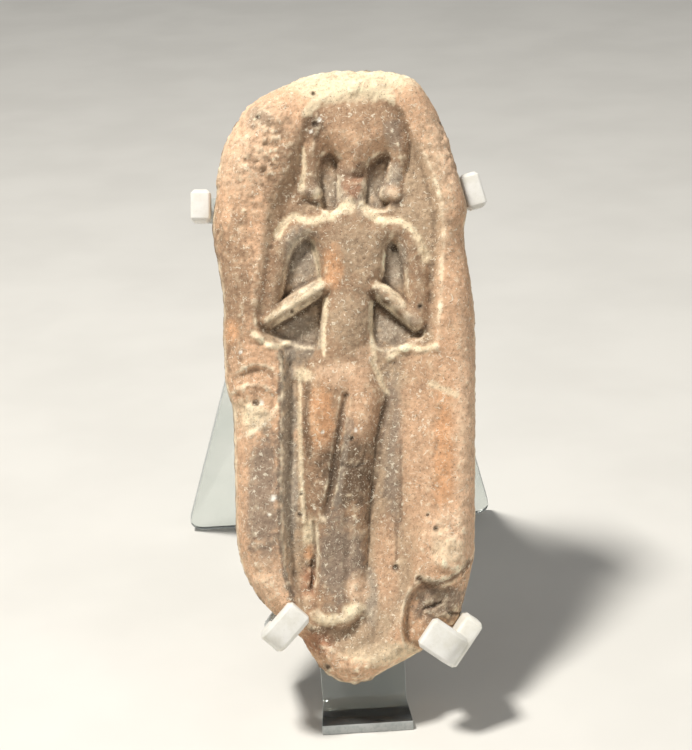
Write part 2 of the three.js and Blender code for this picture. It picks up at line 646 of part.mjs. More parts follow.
// Put an arm or sleeve on the plaque's edge, with its own x inward and its own y out of the front
function setOnEdge(mesh, { edge, heading }) {
  const angle = THREE.MathUtils.degToRad(heading);
  const inward = new THREE.Vector3(Math.cos(angle), Math.sin(angle), 0);
  const outward = new THREE.Vector3(0, 0, 1);
  const basis = new THREE.Matrix4().makeBasis(inward, outward, inward.clone().cross(outward));
  mesh.quaternion.setFromRotationMatrix(basis);
  mesh.position.set(edge[0], edge[1], 0);
  return mesh;
}

const turned = new THREE.Group();
turned.rotation.z = -TURN;
turned.add(piece("plaque", plaqueGeometry(), CLAY));
for (const arm of ARMS) {
  turned.add(setOnEdge(piece(`arm_${arm.name}`, armGeometry(arm), ACRYLIC), arm));
  turned.add(setOnEdge(piece(`pad_${arm.name}`, sleeveGeometry(arm), SILICONE), arm));
}

const leaning = new THREE.Group();
leaning.position.set(CENTRE_ACROSS, 0, CENTRE_HEIGHT);
leaning.rotation.x = Math.PI / 2 - LEAN;
leaning.add(turned);

const standing = new THREE.Group();
standing.add(piece("easel", easelGeometry(), ACRYLIC));
standing.add(leaning);

// The origin goes on the table under the middle of the whole box
const group = new THREE.Group();
group.add(standing);
const box = new THREE.Box3().setFromObject(group, true);
const middle = box.getCenter(new THREE.Vector3());
standing.position.set(-middle.x, -middle.y, -box.min.z);

export default group;
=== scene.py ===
# %% [markdown]
# # A clay relief plaque on a clear easel
# The object is a mould-pressed plaque of fired clay with a standing goddess in low relief. It
# leans back on an easel of bent clear sheet, held by four clear arms with soft white sleeves.
# The solids come from the CAD part, already at their real size and place. This lesson gives
# each of them its finished surface: the relief at full fineness with its wear and colours, and
# the clear and rubbery pieces with soft edges.

from math import cos, pi, radians, sin

import bpy
import numpy as np
from mathutils import Matrix, Vector, noise


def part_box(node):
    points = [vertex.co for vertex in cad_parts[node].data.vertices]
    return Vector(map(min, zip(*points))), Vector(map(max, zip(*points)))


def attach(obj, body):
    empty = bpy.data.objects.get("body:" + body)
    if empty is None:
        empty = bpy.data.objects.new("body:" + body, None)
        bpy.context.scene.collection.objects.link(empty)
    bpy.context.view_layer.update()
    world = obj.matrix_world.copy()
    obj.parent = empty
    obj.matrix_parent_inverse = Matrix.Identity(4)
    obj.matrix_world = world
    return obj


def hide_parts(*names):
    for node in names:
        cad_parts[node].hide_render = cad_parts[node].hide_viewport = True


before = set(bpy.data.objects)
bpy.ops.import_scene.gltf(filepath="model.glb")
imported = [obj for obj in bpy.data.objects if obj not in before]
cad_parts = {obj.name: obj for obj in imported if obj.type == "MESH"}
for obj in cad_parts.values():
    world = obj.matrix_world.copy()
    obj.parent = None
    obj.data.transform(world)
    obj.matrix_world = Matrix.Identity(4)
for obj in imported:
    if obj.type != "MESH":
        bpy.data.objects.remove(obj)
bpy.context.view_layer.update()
MM = 0.001  # one millimetre in Blender's metres
print("nodes:", ", ".join(sorted(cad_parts)))

# %% [markdown]
# ## The camera first
# With the camera in place, every later step can be compared with the photograph. The picture
# was taken square to the leaning plaque: from 22 degrees above, a little to the left, with the
# camera rolled by two degrees. The camera's place is worked out from the plaque's own middle.

# %% Where the plaque leans
LEAN = radians(22)  # how far the plaque leans back
TURN = radians(3.1)  # how far it sits turned in its arms
FOOT_REACH = 38.3  # from the middle of the plaque's back to the foot's front edge
CENTRE = Vector((-0.8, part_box("easel")[0][1] / MM + FOOT_REACH, 72.9))

to_place = (
    Matrix.Scale(MM, 4)
    @ Matrix.Translation(CENTRE)
    @ Matrix.Rotation(pi / 2 - LEAN, 4, "X")
    @ Matrix.Rotation(-TURN, 4, "Z")
)
print("middle of the plaque's back, in mm:", [round(v, 1) for v in CENTRE])

# %% Camera
VIEW_UP = radians(22)  # elevation of the camera over the table
VIEW_ROUND = radians(-2.72)  # how far it stands to the left of straight in front
VIEW_ROLL = radians(2.1)
DISTANCE = 450  # from the point that it looks at
LENS_PIXELS = 1977  # focal length, in pixels of the photograph's frame
FRAME_WIDTH = 692
SENSOR = 36
AIM_OUT = 12  # the point looked at, out of the plaque's back

aim = CENTRE + AIM_OUT * Vector((0, -cos(LEAN), sin(LEAN)))
toward = Vector((sin(VIEW_ROUND) * cos(VIEW_UP), -cos(VIEW_ROUND) * cos(VIEW_UP), sin(VIEW_UP)))
level = Vector((cos(VIEW_ROUND), sin(VIEW_ROUND), 0))
upright = toward.cross(level)
right = level * cos(VIEW_ROLL) - upright * sin(VIEW_ROLL)
above = level * sin(VIEW_ROLL) + upright * cos(VIEW_ROLL)

bpy.ops.object.camera_add(location=(aim + DISTANCE * toward) * MM)
camera = bpy.context.object
camera.name = "camera"
turned = Matrix((right, above, toward)).transposed()
camera.rotation_euler = turned.to_euler()
camera.data.sensor_width = SENSOR
camera.data.sensor_fit = "HORIZONTAL"
camera.data.lens = LENS_PIXELS * SENSOR / FRAME_WIDTH
camera.data.shift_y = 1.5 / FRAME_WIDTH
camera.data.clip_start = 0.01
bpy.context.scene.camera = camera
print("camera lens, in mm:", round(camera.data.lens, 1))

# %% [markdown]
# ## The relief's main lines
# The figure is worn, so it is described by a few measured outlines and strokes: the edge of
# the plaque, the sunk ground, the wig with the worn head, the body, the arms and the locks.
# All are millimetres across and up from the plaque's middle, as seen from the front.

# %% Outlines
OUTLINE = [
    (-14.5, -56), (-18.5, -52), (-22, -47), (-24, -42), (-25, -36), (-25.2, -28), (-25.5, -14.5),
    (-25.7, -7.5), (-27.2, -2.5), (-28, 8.5), (-28, 17.5), (-29, 24.5), (-30.4, 34), (-29.4, 42.5),
    (-28.2, 51), (-25, 58), (-22, 62),
    (-17.5, 64.9), (-10.5, 68), (-3.5, 69.8), (3.5, 69.9), (11, 69.8), (16, 67.8), (19, 64),
    (22.8, 56.5), (25.9, 46.5), (27.9, 39), (27.3, 32.5), (28.5, 24), (29.6, 16), (29.9, 6),
    (29.9, -10), (29.8, -28), (29.4, -42), (27.6, -50), (25.9, -55.5),
    (20.5, -61), (14.5, -64.5), (9, -67.4), (3, -70.2), (-3, -69), (-7.5, -64), (-10, -60),
]
TOP_LEFT, TOP_RIGHT, BOTTOM_RIGHT = 16, 23, 35  # the outline's corners, by landmark

GROUND = [
    (0.9, 65), (-3.6, 64.5), (-7.3, 62.5), (-10, 58.8), (-12.3, 54.3), (-13.7, 51.1),
    (-15, 47.5), (-16.6, 43.4), (-18, 39.7), (-19.1, 35.6), (-19.8, 30.6), (-20.5, 24.2),
    (-21.2, 17.4), (-20.9, 11.7), (-19.8, 8.3), (-17.5, 6.5), (-15.5, 4.2), (-14.8, 0.3),
    (-14.8, -5.3), (-15, -16.7), (-15, -28.1), (-14.8, -37.2), (-13.7, -46.3), (-11.2, -54.3),
    (-8, -60), (-3.2, -63.2), (3.2, -63.6), (9.1, -60.4), (12.7, -55), (15.5, -48.6),
    (16.8, -41.8), (18.2, -32.7), (19.1, -23.6), (19.6, -14.5), (19.6, -5.3), (19.6, 1.9),
    (20.5, 7.2), (21.2, 12.9), (21.6, 19.7), (22.1, 28.8), (22.1, 36.8), (20.9, 42.5),
    (18.9, 48.1), (15.9, 54.3), (13.2, 59.8), (9.8, 63.2), (5.5, 64.8),
]

HEAD = [
    (-9.6, 59.1), (-6.8, 62), (-3.4, 63.9), (0.5, 64.5), (4.6, 64.5), (8.7, 63.6), (11.8, 61.3),
    (13.9, 57.5), (14.6, 53.4), (14.3, 49.7), (13.2, 47.5), (11.6, 47.5), (10, 49.1), (8.7, 51.1),
    (7.1, 50), (5, 47.5), (2.3, 46.1), (0, 46.8), (-1.6, 49.1), (-3.2, 51.1), (-4.8, 52.2),
    (-5.9, 50.4), (-7.3, 48.8), (-9.1, 49.7), (-10, 52.7), (-10.2, 56.1),
]

BODY = [
    (-0.9, 39.3), (-3.4, 37.4), (-6.4, 36.1), (-9.1, 35.2), (-10.9, 33.6), (-9.8, 31.5),
    (-8, 30.4), (-6.8, 27.9), (-6.1, 24.7), (-5.7, 21.3), (-5.5, 17.4), (-5.7, 13.3), (-6.1, 9.4),
    (-7.1, 6), (-8.7, 3.3), (-10, -0.3), (-10.7, -4.4), (-10.7, -11), (-10.2, -16.7),
    (-9.8, -23.6), (-9.1, -30.4), (-8.2, -37.2), (-7.7, -44), (-7.7, -50.9), (-7.3, -54.7),
    (-4.1, -56.1), (-0.5, -55.9), (2.5, -54.1), (4.1, -50.4), (4.6, -44), (5, -37.2),
    (5.2, -30.4), (5.7, -25.8), (6.1, -21.3), (6.6, -16.7), (7.1, -12.2), (8, -8.1), (8.9, -5.3),
    (8.7, -2.6), (7.3, 0.6), (5.9, 3.3), (5, 6), (5.5, 9.2), (6.1, 13.3), (6.4, 17.4),
    (7.5, 20.4), (8.7, 23.3), (8.9, 27), (9.3, 29.7), (11.4, 31.5), (12.7, 33.3), (10, 34.7),
    (6.8, 36.1), (3.6, 38.4),
]

LEFT_CHIP = [
    (-30, -0.8), (-25, 1), (-20.5, 2.8), (-16.8, 1.7), (-15.3, -1.7), (-15.5, -6.3),
    (-17.1, -9.4), (-19.6, -11.7), (-22.8, -13.5), (-30, -14.5),
]
CORNER_BREAK = [
    (13.7, -48.6), (16.8, -45.9), (20.9, -46.8), (24.1, -45.6), (26.9, -43.4), (30.5, -39),
    (31, -50.9), (26.9, -59.1), (19.1, -63.2), (13, -60.9), (12.3, -53.6),
]
# The deep places between the limbs
POCKETS = [
    [(-12.5, 32), (-5.5, 32), (-4.5, 20), (-6, 6.5), (-13, 7.2), (-17.5, 9.5), (-18.6, 12),
     (-16.8, 18), (-15.5, 25), (-14, 30)],  # inside and under the left arm
    [(8.4, 32), (13.4, 31.5), (15.9, 24), (16.8, 14), (17.8, 9.4), (12.3, 6.5), (8.2, 5.6),
     (5.9, 7.2), (5, 17.4), (6.8, 26)],  # and the right one
    [(-6.4, 49.7), (-3.6, 51.6), (-0.2, 48), (0.5, 39), (-1.8, 37.4), (-5.5, 37.4),
     (-6.8, 42.4)],  # beside the neck
    [(4.6, 48), (8.4, 51), (11.4, 48.8), (10.5, 42.4), (9.6, 37.4), (5.9, 37.4), (3.6, 39)],
]
print("landmarks:", len(OUTLINE), len(GROUND), len(HEAD), len(BODY))

# %% Strokes, grooves and swells
# Each stroke has a path, a half width and a height over the deepest ground
STROKES = [
    ([(-5.5, 35.2), (-9.3, 34), (-12.3, 32), (-14.8, 28.6), (-16.2, 23.3), (-17.3, 17.9),
      (-18.4, 13.1)], 2.9, 3.7),  # upper arm on the left
    ([(-18.2, 12.6), (-15, 14.5), (-11.2, 17), (-8, 19), (-4.1, 20.8)], 2.3, 4),  # its forearm
    ([(8.7, 34.3), (12.3, 32.9), (14.6, 29.9), (15.7, 25.6), (16.2, 19.7), (16.2, 13.3)],
     3, 3.7),  # upper arm on the right
    ([(15.9, 12.4), (13.2, 14.7), (10.2, 17.4), (6.4, 20.1)], 2.3, 4),  # its forearm
    ([(1.4, 47.5), (1.1, 37.4)], 3.4, 2.7),  # neck
    ([(-8.7, 51.6), (-8.4, 43.4)], 2.3, 3.2),  # lock hanging on the left
    ([(-8.9, 41.9), (-7.7, 41.5)], 2.4, 3.8),  # its curled end
    ([(12.1, 49.3), (10.7, 43.4)], 2.3, 2.9),  # lock hanging on the right
    ([(9.6, 41.5), (11, 41.2)], 2.3, 3.6),  # its curled end
    ([(-6.8, -53.8), (-4.1, -55), (-0.2, -54.5), (2.3, -52.2)], 2.5, 4.2),  # feet
]
# Each groove has a path, a half width and a depth, and a ridge a depth below nought
GROOVES = [
    ([(-0.2, -4.4), (-1.4, -11), (-2.3, -16.7), (-3.2, -23.6), (-5, -30.8)], 1.4, 1.0),
    ([(0.2, -28.1), (0.2, -41.8), (0, -50.4)], 1.5, 0.6),
    ([(-13.2, 2.4), (-13.4, -16.7), (-13.2, -37.2), (-11.2, -48.6)], 1.8, 0.3),
    ([(-9.1, -58.2), (-4.6, -59.3), (0.5, -58.6), (4, -55.4)], 2.2, 0.7),
    ([(-4.1, 51.1), (-1.4, 47.5), (1.4, 45), (4.6, 46.3), (7.7, 49.3)], 1.6, 0.6),
    ([(-10.5, -0.5), (-10.5, -12), (-10.2, -24), (-9.6, -33)], 0.9, -0.45),  # seam at the leg
    ([(-26.9, -4.7), (-24.1, -2.6), (-20, -1.7), (-16.2, -3.5)], 1.1, -0.5),  # in the left chip
    ([(-0.9, -19.9), (1.4, -20.4), (3.6, -19.7)], 0.6, 0.35),  # at the knee
    ([(-7.5, -33), (-7.3, -40), (-7.9, -48)], 0.8, 0.8),  # broken strip at the shin
    ([(17.8, -52.7), (21.4, -51.3)], 0.6, 0.7),  # cracks of the broken corner
    ([(23.4, -53.8), (26.4, -54.1)], 0.6, 0.6),
    ([(16.2, -45.8), (19.1, -47.2), (22.5, -46.4), (25.9, -44.8), (28, -42.4)], 1.1, 0.9),
]
# Each swell or dip has a middle, half sizes and a rise
SWELLS = [
    ((1.4, 54.3), (8.2, 8.2), 1.0),  # worn face
    ((-9.1, 55.7), (3, 5.9), -0.5),  # sides of the wig
    ((13, 55), (3, 6.8), -0.4),
    ((-0.2, 28.8), (8.2, 6.4), 0.5),  # chest
    ((0.5, 13.3), (5.9, 8.2), 0.9),  # belly
    ((0.9, 1), (7.7, 4.1), 0.4),  # hips
    ((-6.6, -9.4), (4.3, 15), 1.1),  # thighs
    ((3.4, -8.1), (4.6, 13.7), 1.0),
    ((-1.8, -40.6), (6.8, 10), -0.7),  # shins
    ((-2.3, -53.6), (7.7, 3.6), 0.6),  # feet
    ((-19.8, 8.8), (2.8, 1.7), 0.9),  # broken step of the ground on the left
    ((-16.4, 7.1), (2.6, 1.5), 0.9),
    ((-13.4, 7.5), (2, 1.3), 0.5),
    ((9.9, 4.4), (2.2, 1.7), 0.7),  # and on the right
    ((13.2, 6.2), (2.4, 1.5), 1.1),
    ((16.6, 6), (2, 1.3), 0.6),
    ((19.4, 6.6), (2.2, 1.7), 0.9),
    ((-10.9, 0.6), (2.7, 2.7), 0.9),  # lump beside the hip
    ((-24.1, 51.6), (13.7, 20.5), 0.7),  # rim, upper left
    ((23.2, -36.1), (8.7, 12.5), 1.1),  # rim, lower right
    ((22.8, -41.8), (5.9, 3.4), 0.8),  # lip over the broken corner
    ((3.6, -65), (10, 4.6), 0.6),  # rim, at the tip
]
# Small pits, each with a middle and a radius
PITS = [
    (-7.1, 56.8, 1.1), (-7.5, 63.8, 0.6), (21.6, 57.7, 0.6), (-20, 58.4, 0.9), (-12.3, 14.7, 0.7),
    (16.6, 15.8, 0.8), (10.9, 29.1, 1), (-20.5, -6, 1), (1.1, -14, 0.6), (-10.2, -26.5, 0.5),
    (-10.5, -31.3, 0.7), (18.2, -31.3, 0.5), (20, -34.3, 0.8), (11.2, -43.4, 1), (-4.3, -65.7, 0.9),
]
print(len(STROKES), "strokes,", len(GROOVES), "grooves,", len(SWELLS), "swells")

# %% [markdown]
# ## From lines to a height
# A relief is a height for each point of a flat sheet. Every mass starts from how deep a point
# lies inside an outline, and its edge is a quarter round of that depth. Working on whole
# arrays of points at once keeps this quick for seventy thousand points.

# %% Curves and depths
def smooth_share(value):
    share = np.clip(value, 0, 1)
    return share * share * (3 - 2 * share)


def quarter_round(value):
    return np.sqrt(1 - (1 - np.clip(value, 0, 1)) ** 2)


def fillet_max(a, b, soft):
    share = np.clip(0.5 + 0.5 * (a - b) / soft, 0, 1)
    return b + (a - b) * share + soft * share * (1 - share)


def smooth_curve(landmarks, closed=True, steps=6):
    """A centripetal curve through landmarks, as rows of x and y."""
    marks = np.array(landmarks, float)
    count = len(marks)
    pieces = []
    for i in range(count if closed else count - 1):
        if closed:
            corners = [marks[(i + k) % count] for k in (-1, 0, 1, 2)]
        else:
            before = marks[i - 1] if i else 2 * marks[0] - marks[1]
            after = marks[i + 2] if i + 2 < count else 2 * marks[-1] - marks[-2]
            corners = [before, marks[i], marks[i + 1], after]
        a, b, c, d = corners
        knots = np.cumsum([0] + [np.linalg.norm(q - p) ** 0.5 for p, q in ((a, b), (b, c), (c, d))])
        t = (knots[1] + (knots[2] - knots[1]) * np.arange(steps) / steps)[:, None]

        def between(p, q, start, end):
            return p + (q - p) * (t - knots[start]) / (knots[end] - knots[start])

        ab, bc, cd = between(a, b, 0, 1), between(b, c, 1, 2), between(c, d, 2, 3)
        pieces.append(between(between(ab, bc, 0, 2), between(bc, cd, 1, 3), 1, 2))
    if not closed:
        pieces.append(marks[-1:])
    return np.concatenate(pieces)


def distance_to_path(x, y, path):
    least = np.full(x.shape, np.inf)
    for (ax, ay), (bx, by) in zip(path[:-1], path[1:]):
        dx, dy = bx - ax, by - ay
        share = np.clip(((x - ax) * dx + (y - ay) * dy) / (dx * dx + dy * dy), 0, 1)
        least = np.minimum(least, np.hypot(x - ax - dx * share, y - ay - dy * share))
    return least


def depth_inside(x, y, landmarks):
    """Distance in from a closed outline, negative outside it."""
    ring = smooth_curve(landmarks)
    ring = np.concatenate([ring, ring[:1]])
    inside = np.zeros(x.shape, bool)
    for (ax, ay), (bx, by) in zip(ring[:-1], ring[1:]):
        if ay != by:
            inside ^= ((ay > y) != (by > y)) & (x < ax + (bx - ax) * (y - ay) / (by - ay))
    return np.where(inside, 1, -1) * distance_to_path(x, y, ring)


print("a point 5 mm inside a circle of 20:",
      depth_inside(np.array([15.0]), np.array([0.0]),
                   [(20 * cos(a), 20 * sin(a)) for a in np.linspace(0, 2 * pi, 12)[:-1]]).round(2))

# %% The height of the front
EDGE_OUT = 8  # the widest line of the outline, out from the back
RIM_OUT = 17  # the raised rim
UPPER_DEPTH = 2.6  # the ground round the head and arms, below the rim
LOWER_DEPTH = 3.4  # the ground beside the legs
POCKET_DEPTH = 2.0  # the pockets, below the upper ground
FLOOR_OUT = RIM_OUT - UPPER_DEPTH - POCKET_DEPTH
HEAD_RISE = 4.6
BODY_RISE = 3.9
FILLET = 1.5
PIT_DEPTH = 0.8


def floor_depth(x, y):
    upper = smooth_share((y - 2.5) / 6)
    rising = 1 - 0.55 * smooth_share((x - 9) / 9)
    ends = (1 - 0.7 * smooth_share((-43 - y) / 14)) * (1 - 0.6 * smooth_share((y - 50) / 12))
    return (LOWER_DEPTH * rising * (1 - upper) + UPPER_DEPTH * upper) * ends


def ground_height(x, y):
    upper_left = smooth_share((4 - x) / 12) * smooth_share((y - 8) / 12)
    roll = 0.35 * np.sin(x * 0.31 + y * 0.12) + 0.3 * np.sin(y * 0.23 - x * 0.11 + 1)
    sunk = smooth_share(depth_inside(x, y, GROUND) / (2.8 + 2.2 * upper_left))
    height = RIM_OUT + roll - floor_depth(x, y) * sunk
    for pocket in POCKETS:
        height = height - POCKET_DEPTH * smooth_share(depth_inside(x, y, pocket) / 1.6)
    return height


def add_mass(height, depth, rise, wide):
    mass = FLOOR_OUT + rise * quarter_round(depth / wide)
    return np.where(depth > 0, fillet_max(height, mass, FILLET), height)


def front_height(x, y):
    height = ground_height(x, y)
    height = add_mass(height, depth_inside(x, y, HEAD), HEAD_RISE, 5)
    height = add_mass(height, depth_inside(x, y, BODY), BODY_RISE, 4.2)
    for path, half, rise in STROKES:
        away = distance_to_path(x, y, smooth_curve(path, closed=False)) / half
        mass = FLOOR_OUT + rise * np.clip(1 - away * away, 0, 1) ** 0.65
        height = np.where(away < 1, fillet_max(height, mass, FILLET), height)
    for (cx, cy), (wide, tall), rise in SWELLS:
        height = height + rise * (1 - smooth_share(np.hypot((x - cx) / wide, (y - cy) / tall)))
    for path, half, sink in GROOVES:
        away = distance_to_path(x, y, smooth_curve(path, closed=False))
        height = height - sink * (1 - smooth_share(away / half))
    for cx, cy, radius in PITS:
        height = height - PIT_DEPTH * (1 - smooth_share(np.hypot(x - cx, y - cy) / radius))
    height = height - 0.9 * smooth_share(depth_inside(x, y, LEFT_CHIP) / 1.4)
    height = height - 2.5 * smooth_share(depth_inside(x, y, CORNER_BREAK) / 1.8)
    upper_left = smooth_share((y - 20) / 20) * smooth_share((5 - x) / 10)
    rounded = quarter_round(depth_inside(x, y, OUTLINE) / (5 + 2.5 * upper_left))
    return EDGE_OUT + (height - EDGE_OUT) * rounded


middle = np.array([0.0])
print("height at the middle of the figure, in mm:", front_height(middle, middle).round(2))

# %% [markdown]
# ## The plaque's mesh
# A flat grid is added and its points are moved until its border is the plaque's outline. Each
# row runs from the left side to the right side, and the lowest and highest rows bend to follow
# the bottom and top. Then the height lifts every point. This keeps all faces four-sided and
# evenly small, which a remesh or a boolean would not.

# %% A grid that fills the outline
COLUMNS = 214
ROWS = 350
BOTTOM_FADE = 0.42  # share of the height over which the rows lose the bottom's point
TOP_FADE = 0.3


def deselect_all():
    if bpy.context.object and bpy.context.object.mode != "OBJECT":
        bpy.ops.object.mode_set(mode="OBJECT")
    bpy.ops.object.select_all(action="DESELECT")


def side_of_outline(start, end, shares):
    """Points along the outline between two landmarks, spaced by the shares of its length."""
    steps = 12
    ring = smooth_curve(OUTLINE, steps=steps)
    count = (end - start) * steps
    points = ring[(start * steps + np.arange(count + 1)) % len(ring)]
    run = np.concatenate([[0], np.cumsum(np.linalg.norm(np.diff(points, axis=0), axis=1))])
    along = shares * run[-1]
    return np.stack([np.interp(along, run, points[:, k]) for k in (0, 1)], axis=1)


def crowded(count, crowding):
    """Shares from 0 to 1 that lie closer together where the crowding is higher."""
    fine = (np.arange(2000) + 0.5) / 2000
    sums = np.concatenate([[0], np.cumsum(crowding(fine))])
    return np.interp(np.linspace(0, sums[-1], count + 1), sums, np.linspace(0, 1, 2001))


def near_edge(share):
    return np.clip(1 - np.minimum(share, 1 - share) / 0.06, 0, 1)


across = crowded(COLUMNS, lambda s: 1 + 0.35 * (abs(s - 0.5) < 0.33) + 1.5 * near_edge(s))
up = crowded(ROWS, lambda t: 1 + 0.35 * ((t > 0.5) & (t < 0.94)) + 1.2 * near_edge(t))

left_side = side_of_outline(0, TOP_LEFT, up)
right_side = side_of_outline(TOP_RIGHT, BOTTOM_RIGHT, 1 - up)
top_side = side_of_outline(TOP_LEFT, TOP_RIGHT, across)
bottom_side = side_of_outline(BOTTOM_RIGHT, len(OUTLINE), 1 - across)


def bow(side):
    """How far a side bends away from the straight line between its ends."""
    return side - side[:1] * (1 - across[:, None]) - side[-1:] * across[:, None]


s, t = across[None, :, None], up[:, None, None]
grid = left_side[:, None] * (1 - s) + right_side[:, None] * s
grid = grid + bow(bottom_side)[None] * np.clip(1 - t / BOTTOM_FADE, 0, 1) ** 1.5
grid = grid + bow(top_side)[None] * np.clip(1 - (1 - t) / TOP_FADE, 0, 1) ** 1.5
height = front_height(grid[..., 0], grid[..., 1])
height[[0, -1], :] = EDGE_OUT
height[:, [0, -1]] = EDGE_OUT

deselect_all()
bpy.ops.mesh.primitive_grid_add(x_subdivisions=COLUMNS, y_subdivisions=ROWS, size=1)
plaque = bpy.context.object
plaque.name = plaque.data.name = "clay_plaque"
places = np.concatenate([grid, height[..., None]], axis=2)
plaque.data.vertices.foreach_set("co", places.astype(np.float32).ravel())
front_count = len(plaque.data.vertices)
print("front points:", front_count, "height", height.min().round(1), "to", height.max().round(1))

# %% [markdown]
# ## The back
# The back was smoothed by hand: it rounds in from the widest line to a flat middle. The open
# border of the grid is extruded ring by ring. Each new ring is drawn in towards the plaque's
# middle line and down to the back, and the last one is filled.

# %% Rings of the back
BACK_RINGS = 16
FLAT_FROM = 7  # the ring at which the back is flat
FLAT_INWARD = 0.24
LAST_INWARD = 0.86
MIDDLE_LINE = 46  # half length of the line that the rings close in on, at x = -1


def points_of(obj):
    places = np.empty(3 * len(obj.data.vertices), np.float32)
    obj.data.vertices.foreach_get("co", places)
    return places.reshape(-1, 3)


def ring_place(step):
    """How far in towards the middle line a ring lies, and its height over the back."""
    if step <= FLAT_FROM:
        share = step / FLAT_FROM
        return FLAT_INWARD * share**1.6, EDGE_OUT * (1 - share) ** 2
    return FLAT_INWARD + (LAST_INWARD - FLAT_INWARD) * (step - FLAT_FROM) / (
        BACK_RINGS - FLAT_FROM), 0


bpy.ops.object.mode_set(mode="EDIT")
bpy.ops.mesh.select_mode(type="EDGE")
bpy.ops.mesh.select_all(action="DESELECT")
bpy.ops.mesh.select_non_manifold()
reached = 0
for step in range(1, BACK_RINGS + 1):
    inward, out = ring_place(step)
    bpy.ops.mesh.extrude_edges_move()
    bpy.ops.object.mode_set(mode="OBJECT")
    places = points_of(plaque)
    chosen = np.empty(len(places), bool)
    plaque.data.vertices.foreach_get("select", chosen)
    share = (inward - reached) / (1 - reached)
    ring = places[chosen]
    ring[:, 0] += (-1 - ring[:, 0]) * share
    ring[:, 1] += (np.clip(ring[:, 1], -MIDDLE_LINE, MIDDLE_LINE) - ring[:, 1]) * share
    ring[:, 2] = out
    places[chosen] = ring
    plaque.data.vertices.foreach_set("co", places.ravel())
    reached = inward
    bpy.ops.object.mode_set(mode="EDIT")
bpy.ops.mesh.edge_face_add()
bpy.ops.mesh.select_all(action="SELECT")
bpy.ops.mesh.normals_make_consistent(inside=False)
bpy.ops.object.mode_set(mode="OBJECT")
plaque.data.update()
bpy.ops.object.shade_smooth()
print("plaque:", len(plaque.data.vertices), "points,", len(plaque.data.polygons), "faces")

# %% [markdown]
# ## Rough and smooth places
# The broken and worn parts of the rim are rough and pitted, while the figure and the ground
# kept the mould's smooth skin. A vertex group holds how rough each point is, and Displace
# modifiers with cloud and cell textures push the points along their normals by that much.

# %% How rough each point is
ROUGH_SPOTS = [  # middle, half sizes, roughness
    ((-22, 52), (16, 24), 1.0),  # rim, upper left
    ((0, 68), (26, 6), 0.8),  # rim, top
    ((24, 50), (7, 16), 0.6),  # rim, upper right
    ((-21, -6), (8, 9), 0.8),  # chipped place
    ((-20, -48), (9, 9), 0.9),  # rim, lower left
    ((-8.5, -42), (3, 12), 1.0),  # broken strip beside the shin
    ((0, -66), (16, 8), 0.9),  # tip
    ((23, -38), (9, 14), 0.7),  # rim, lower right
    ((22, -54), (10, 9), 1.0),  # broken corner
    ((2.5, -49), (4, 6), 0.8),  # foot
    ((28, 5), (3, 30), 0.5),  # outer edge on the right
    ((-27, -25), (3, 28), 0.6),  # outer edge on the left
]


def lumps(places, size, shift=0):
    """Smooth noise from about -1 to 1 at each point, with lumps of that size."""
    offset = Vector((shift, 2 * shift, 3 * shift))
    return np.array([noise.noise(Vector(p) / size + offset) for p in places.tolist()]) * 1.6


places = points_of(plaque)
x, y, z = places.T
roughness = np.full(len(places), 0.22)
roughness[front_count:] = 0.35
for (cx, cy), (wide, tall), amount in ROUGH_SPOTS:
    near = 1 - smooth_share(np.hypot((x - cx) / wide, (y - cy) / tall) * 1.15 - 0.15)
    roughness = np.maximum(roughness, amount * near * (z > 1))
roughness = np.clip(roughness * (1 + 0.5 * lumps(places, 4)), 0, 1)


def group_of(obj, name, weights, levels=12):
    group = obj.vertex_groups.new(name=name)
    rounded = np.round(weights * levels).astype(int)
    for level in range(1, levels + 1):
        group.add(np.flatnonzero(rounded == level).tolist(), level / levels, "REPLACE")


group_of(plaque, "rough", roughness)
print("rough share:", float((roughness > 0.5).mean().round(2)))

# %% Displace the surface
def texture(name, kind, size, **settings):
    made = bpy.data.textures.new(name, kind)
    made.noise_scale = size
    for key, value in settings.items():
        setattr(made, key, value)
    return made


def displace(obj, made, strength, group="", middle=0.5):
    modifier = obj.modifiers.new(made.name, "DISPLACE")
    modifier.texture = made
    modifier.strength = strength
    modifier.mid_level = middle
    modifier.vertex_group = group
    modifier.texture_coords = "LOCAL"
    bpy.ops.object.modifier_apply(modifier=modifier.name)


deselect_all()
bpy.context.view_layer.objects.active = plaque
plaque.select_set(True)
displace(plaque, texture("broken", "CLOUDS", 4, noise_depth=3), 1.5, "rough")
displace(plaque, texture("crumbs", "VORONOI", 2.3, distance_metric="DISTANCE"), -0.8, "rough")
displace(plaque, texture("grit", "CLOUDS", 0.9, noise_depth=2), 0.7, "rough")
displace(plaque, texture("hand", "CLOUDS", 2.4, noise_depth=2), 0.28)
displace(plaque, texture("sand", "CLOUDS", 0.8, noise_depth=1), 0.16)
places = points_of(plaque)
print("plaque after displacing, in mm:", places.min(0).round(1), places.max(0).round(1))

# %% [markdown]
# ## Colours of the clay
# The clay is tan where it is worn bare, grey-brown in the sunk ground and dark where it is
# sooty. The colours are laid on like paint: a base, soft patches with ragged edges, and then
# pale wear with painted highlights on the crests and painted shade in the hollows, found from
# the relief's own height. Some patches and lines are painted highlights on edges that face the
# light and painted shadows under edges. All of it goes into one colour attribute on the mesh.

# %% The clay's tones
CREAM = (250, 230, 194)  # worn crests, and painted highlights on lit crests and tops
PEACH = (233, 196, 162)  # fresh breaks
TAN = (212, 172, 138)
ORANGE = (222, 168, 124)  # smooth and well fired
BUFF = (184, 158, 130)
GREY = (166, 154, 138)  # film of lime in the deep places
MAUVE = (146, 129, 113)
BROWN = (160, 130, 103)
UMBER = (108, 88, 70)
RUST = (176, 128, 98)
SOOT = (98, 86, 74)
WHITE = (250, 244, 230)

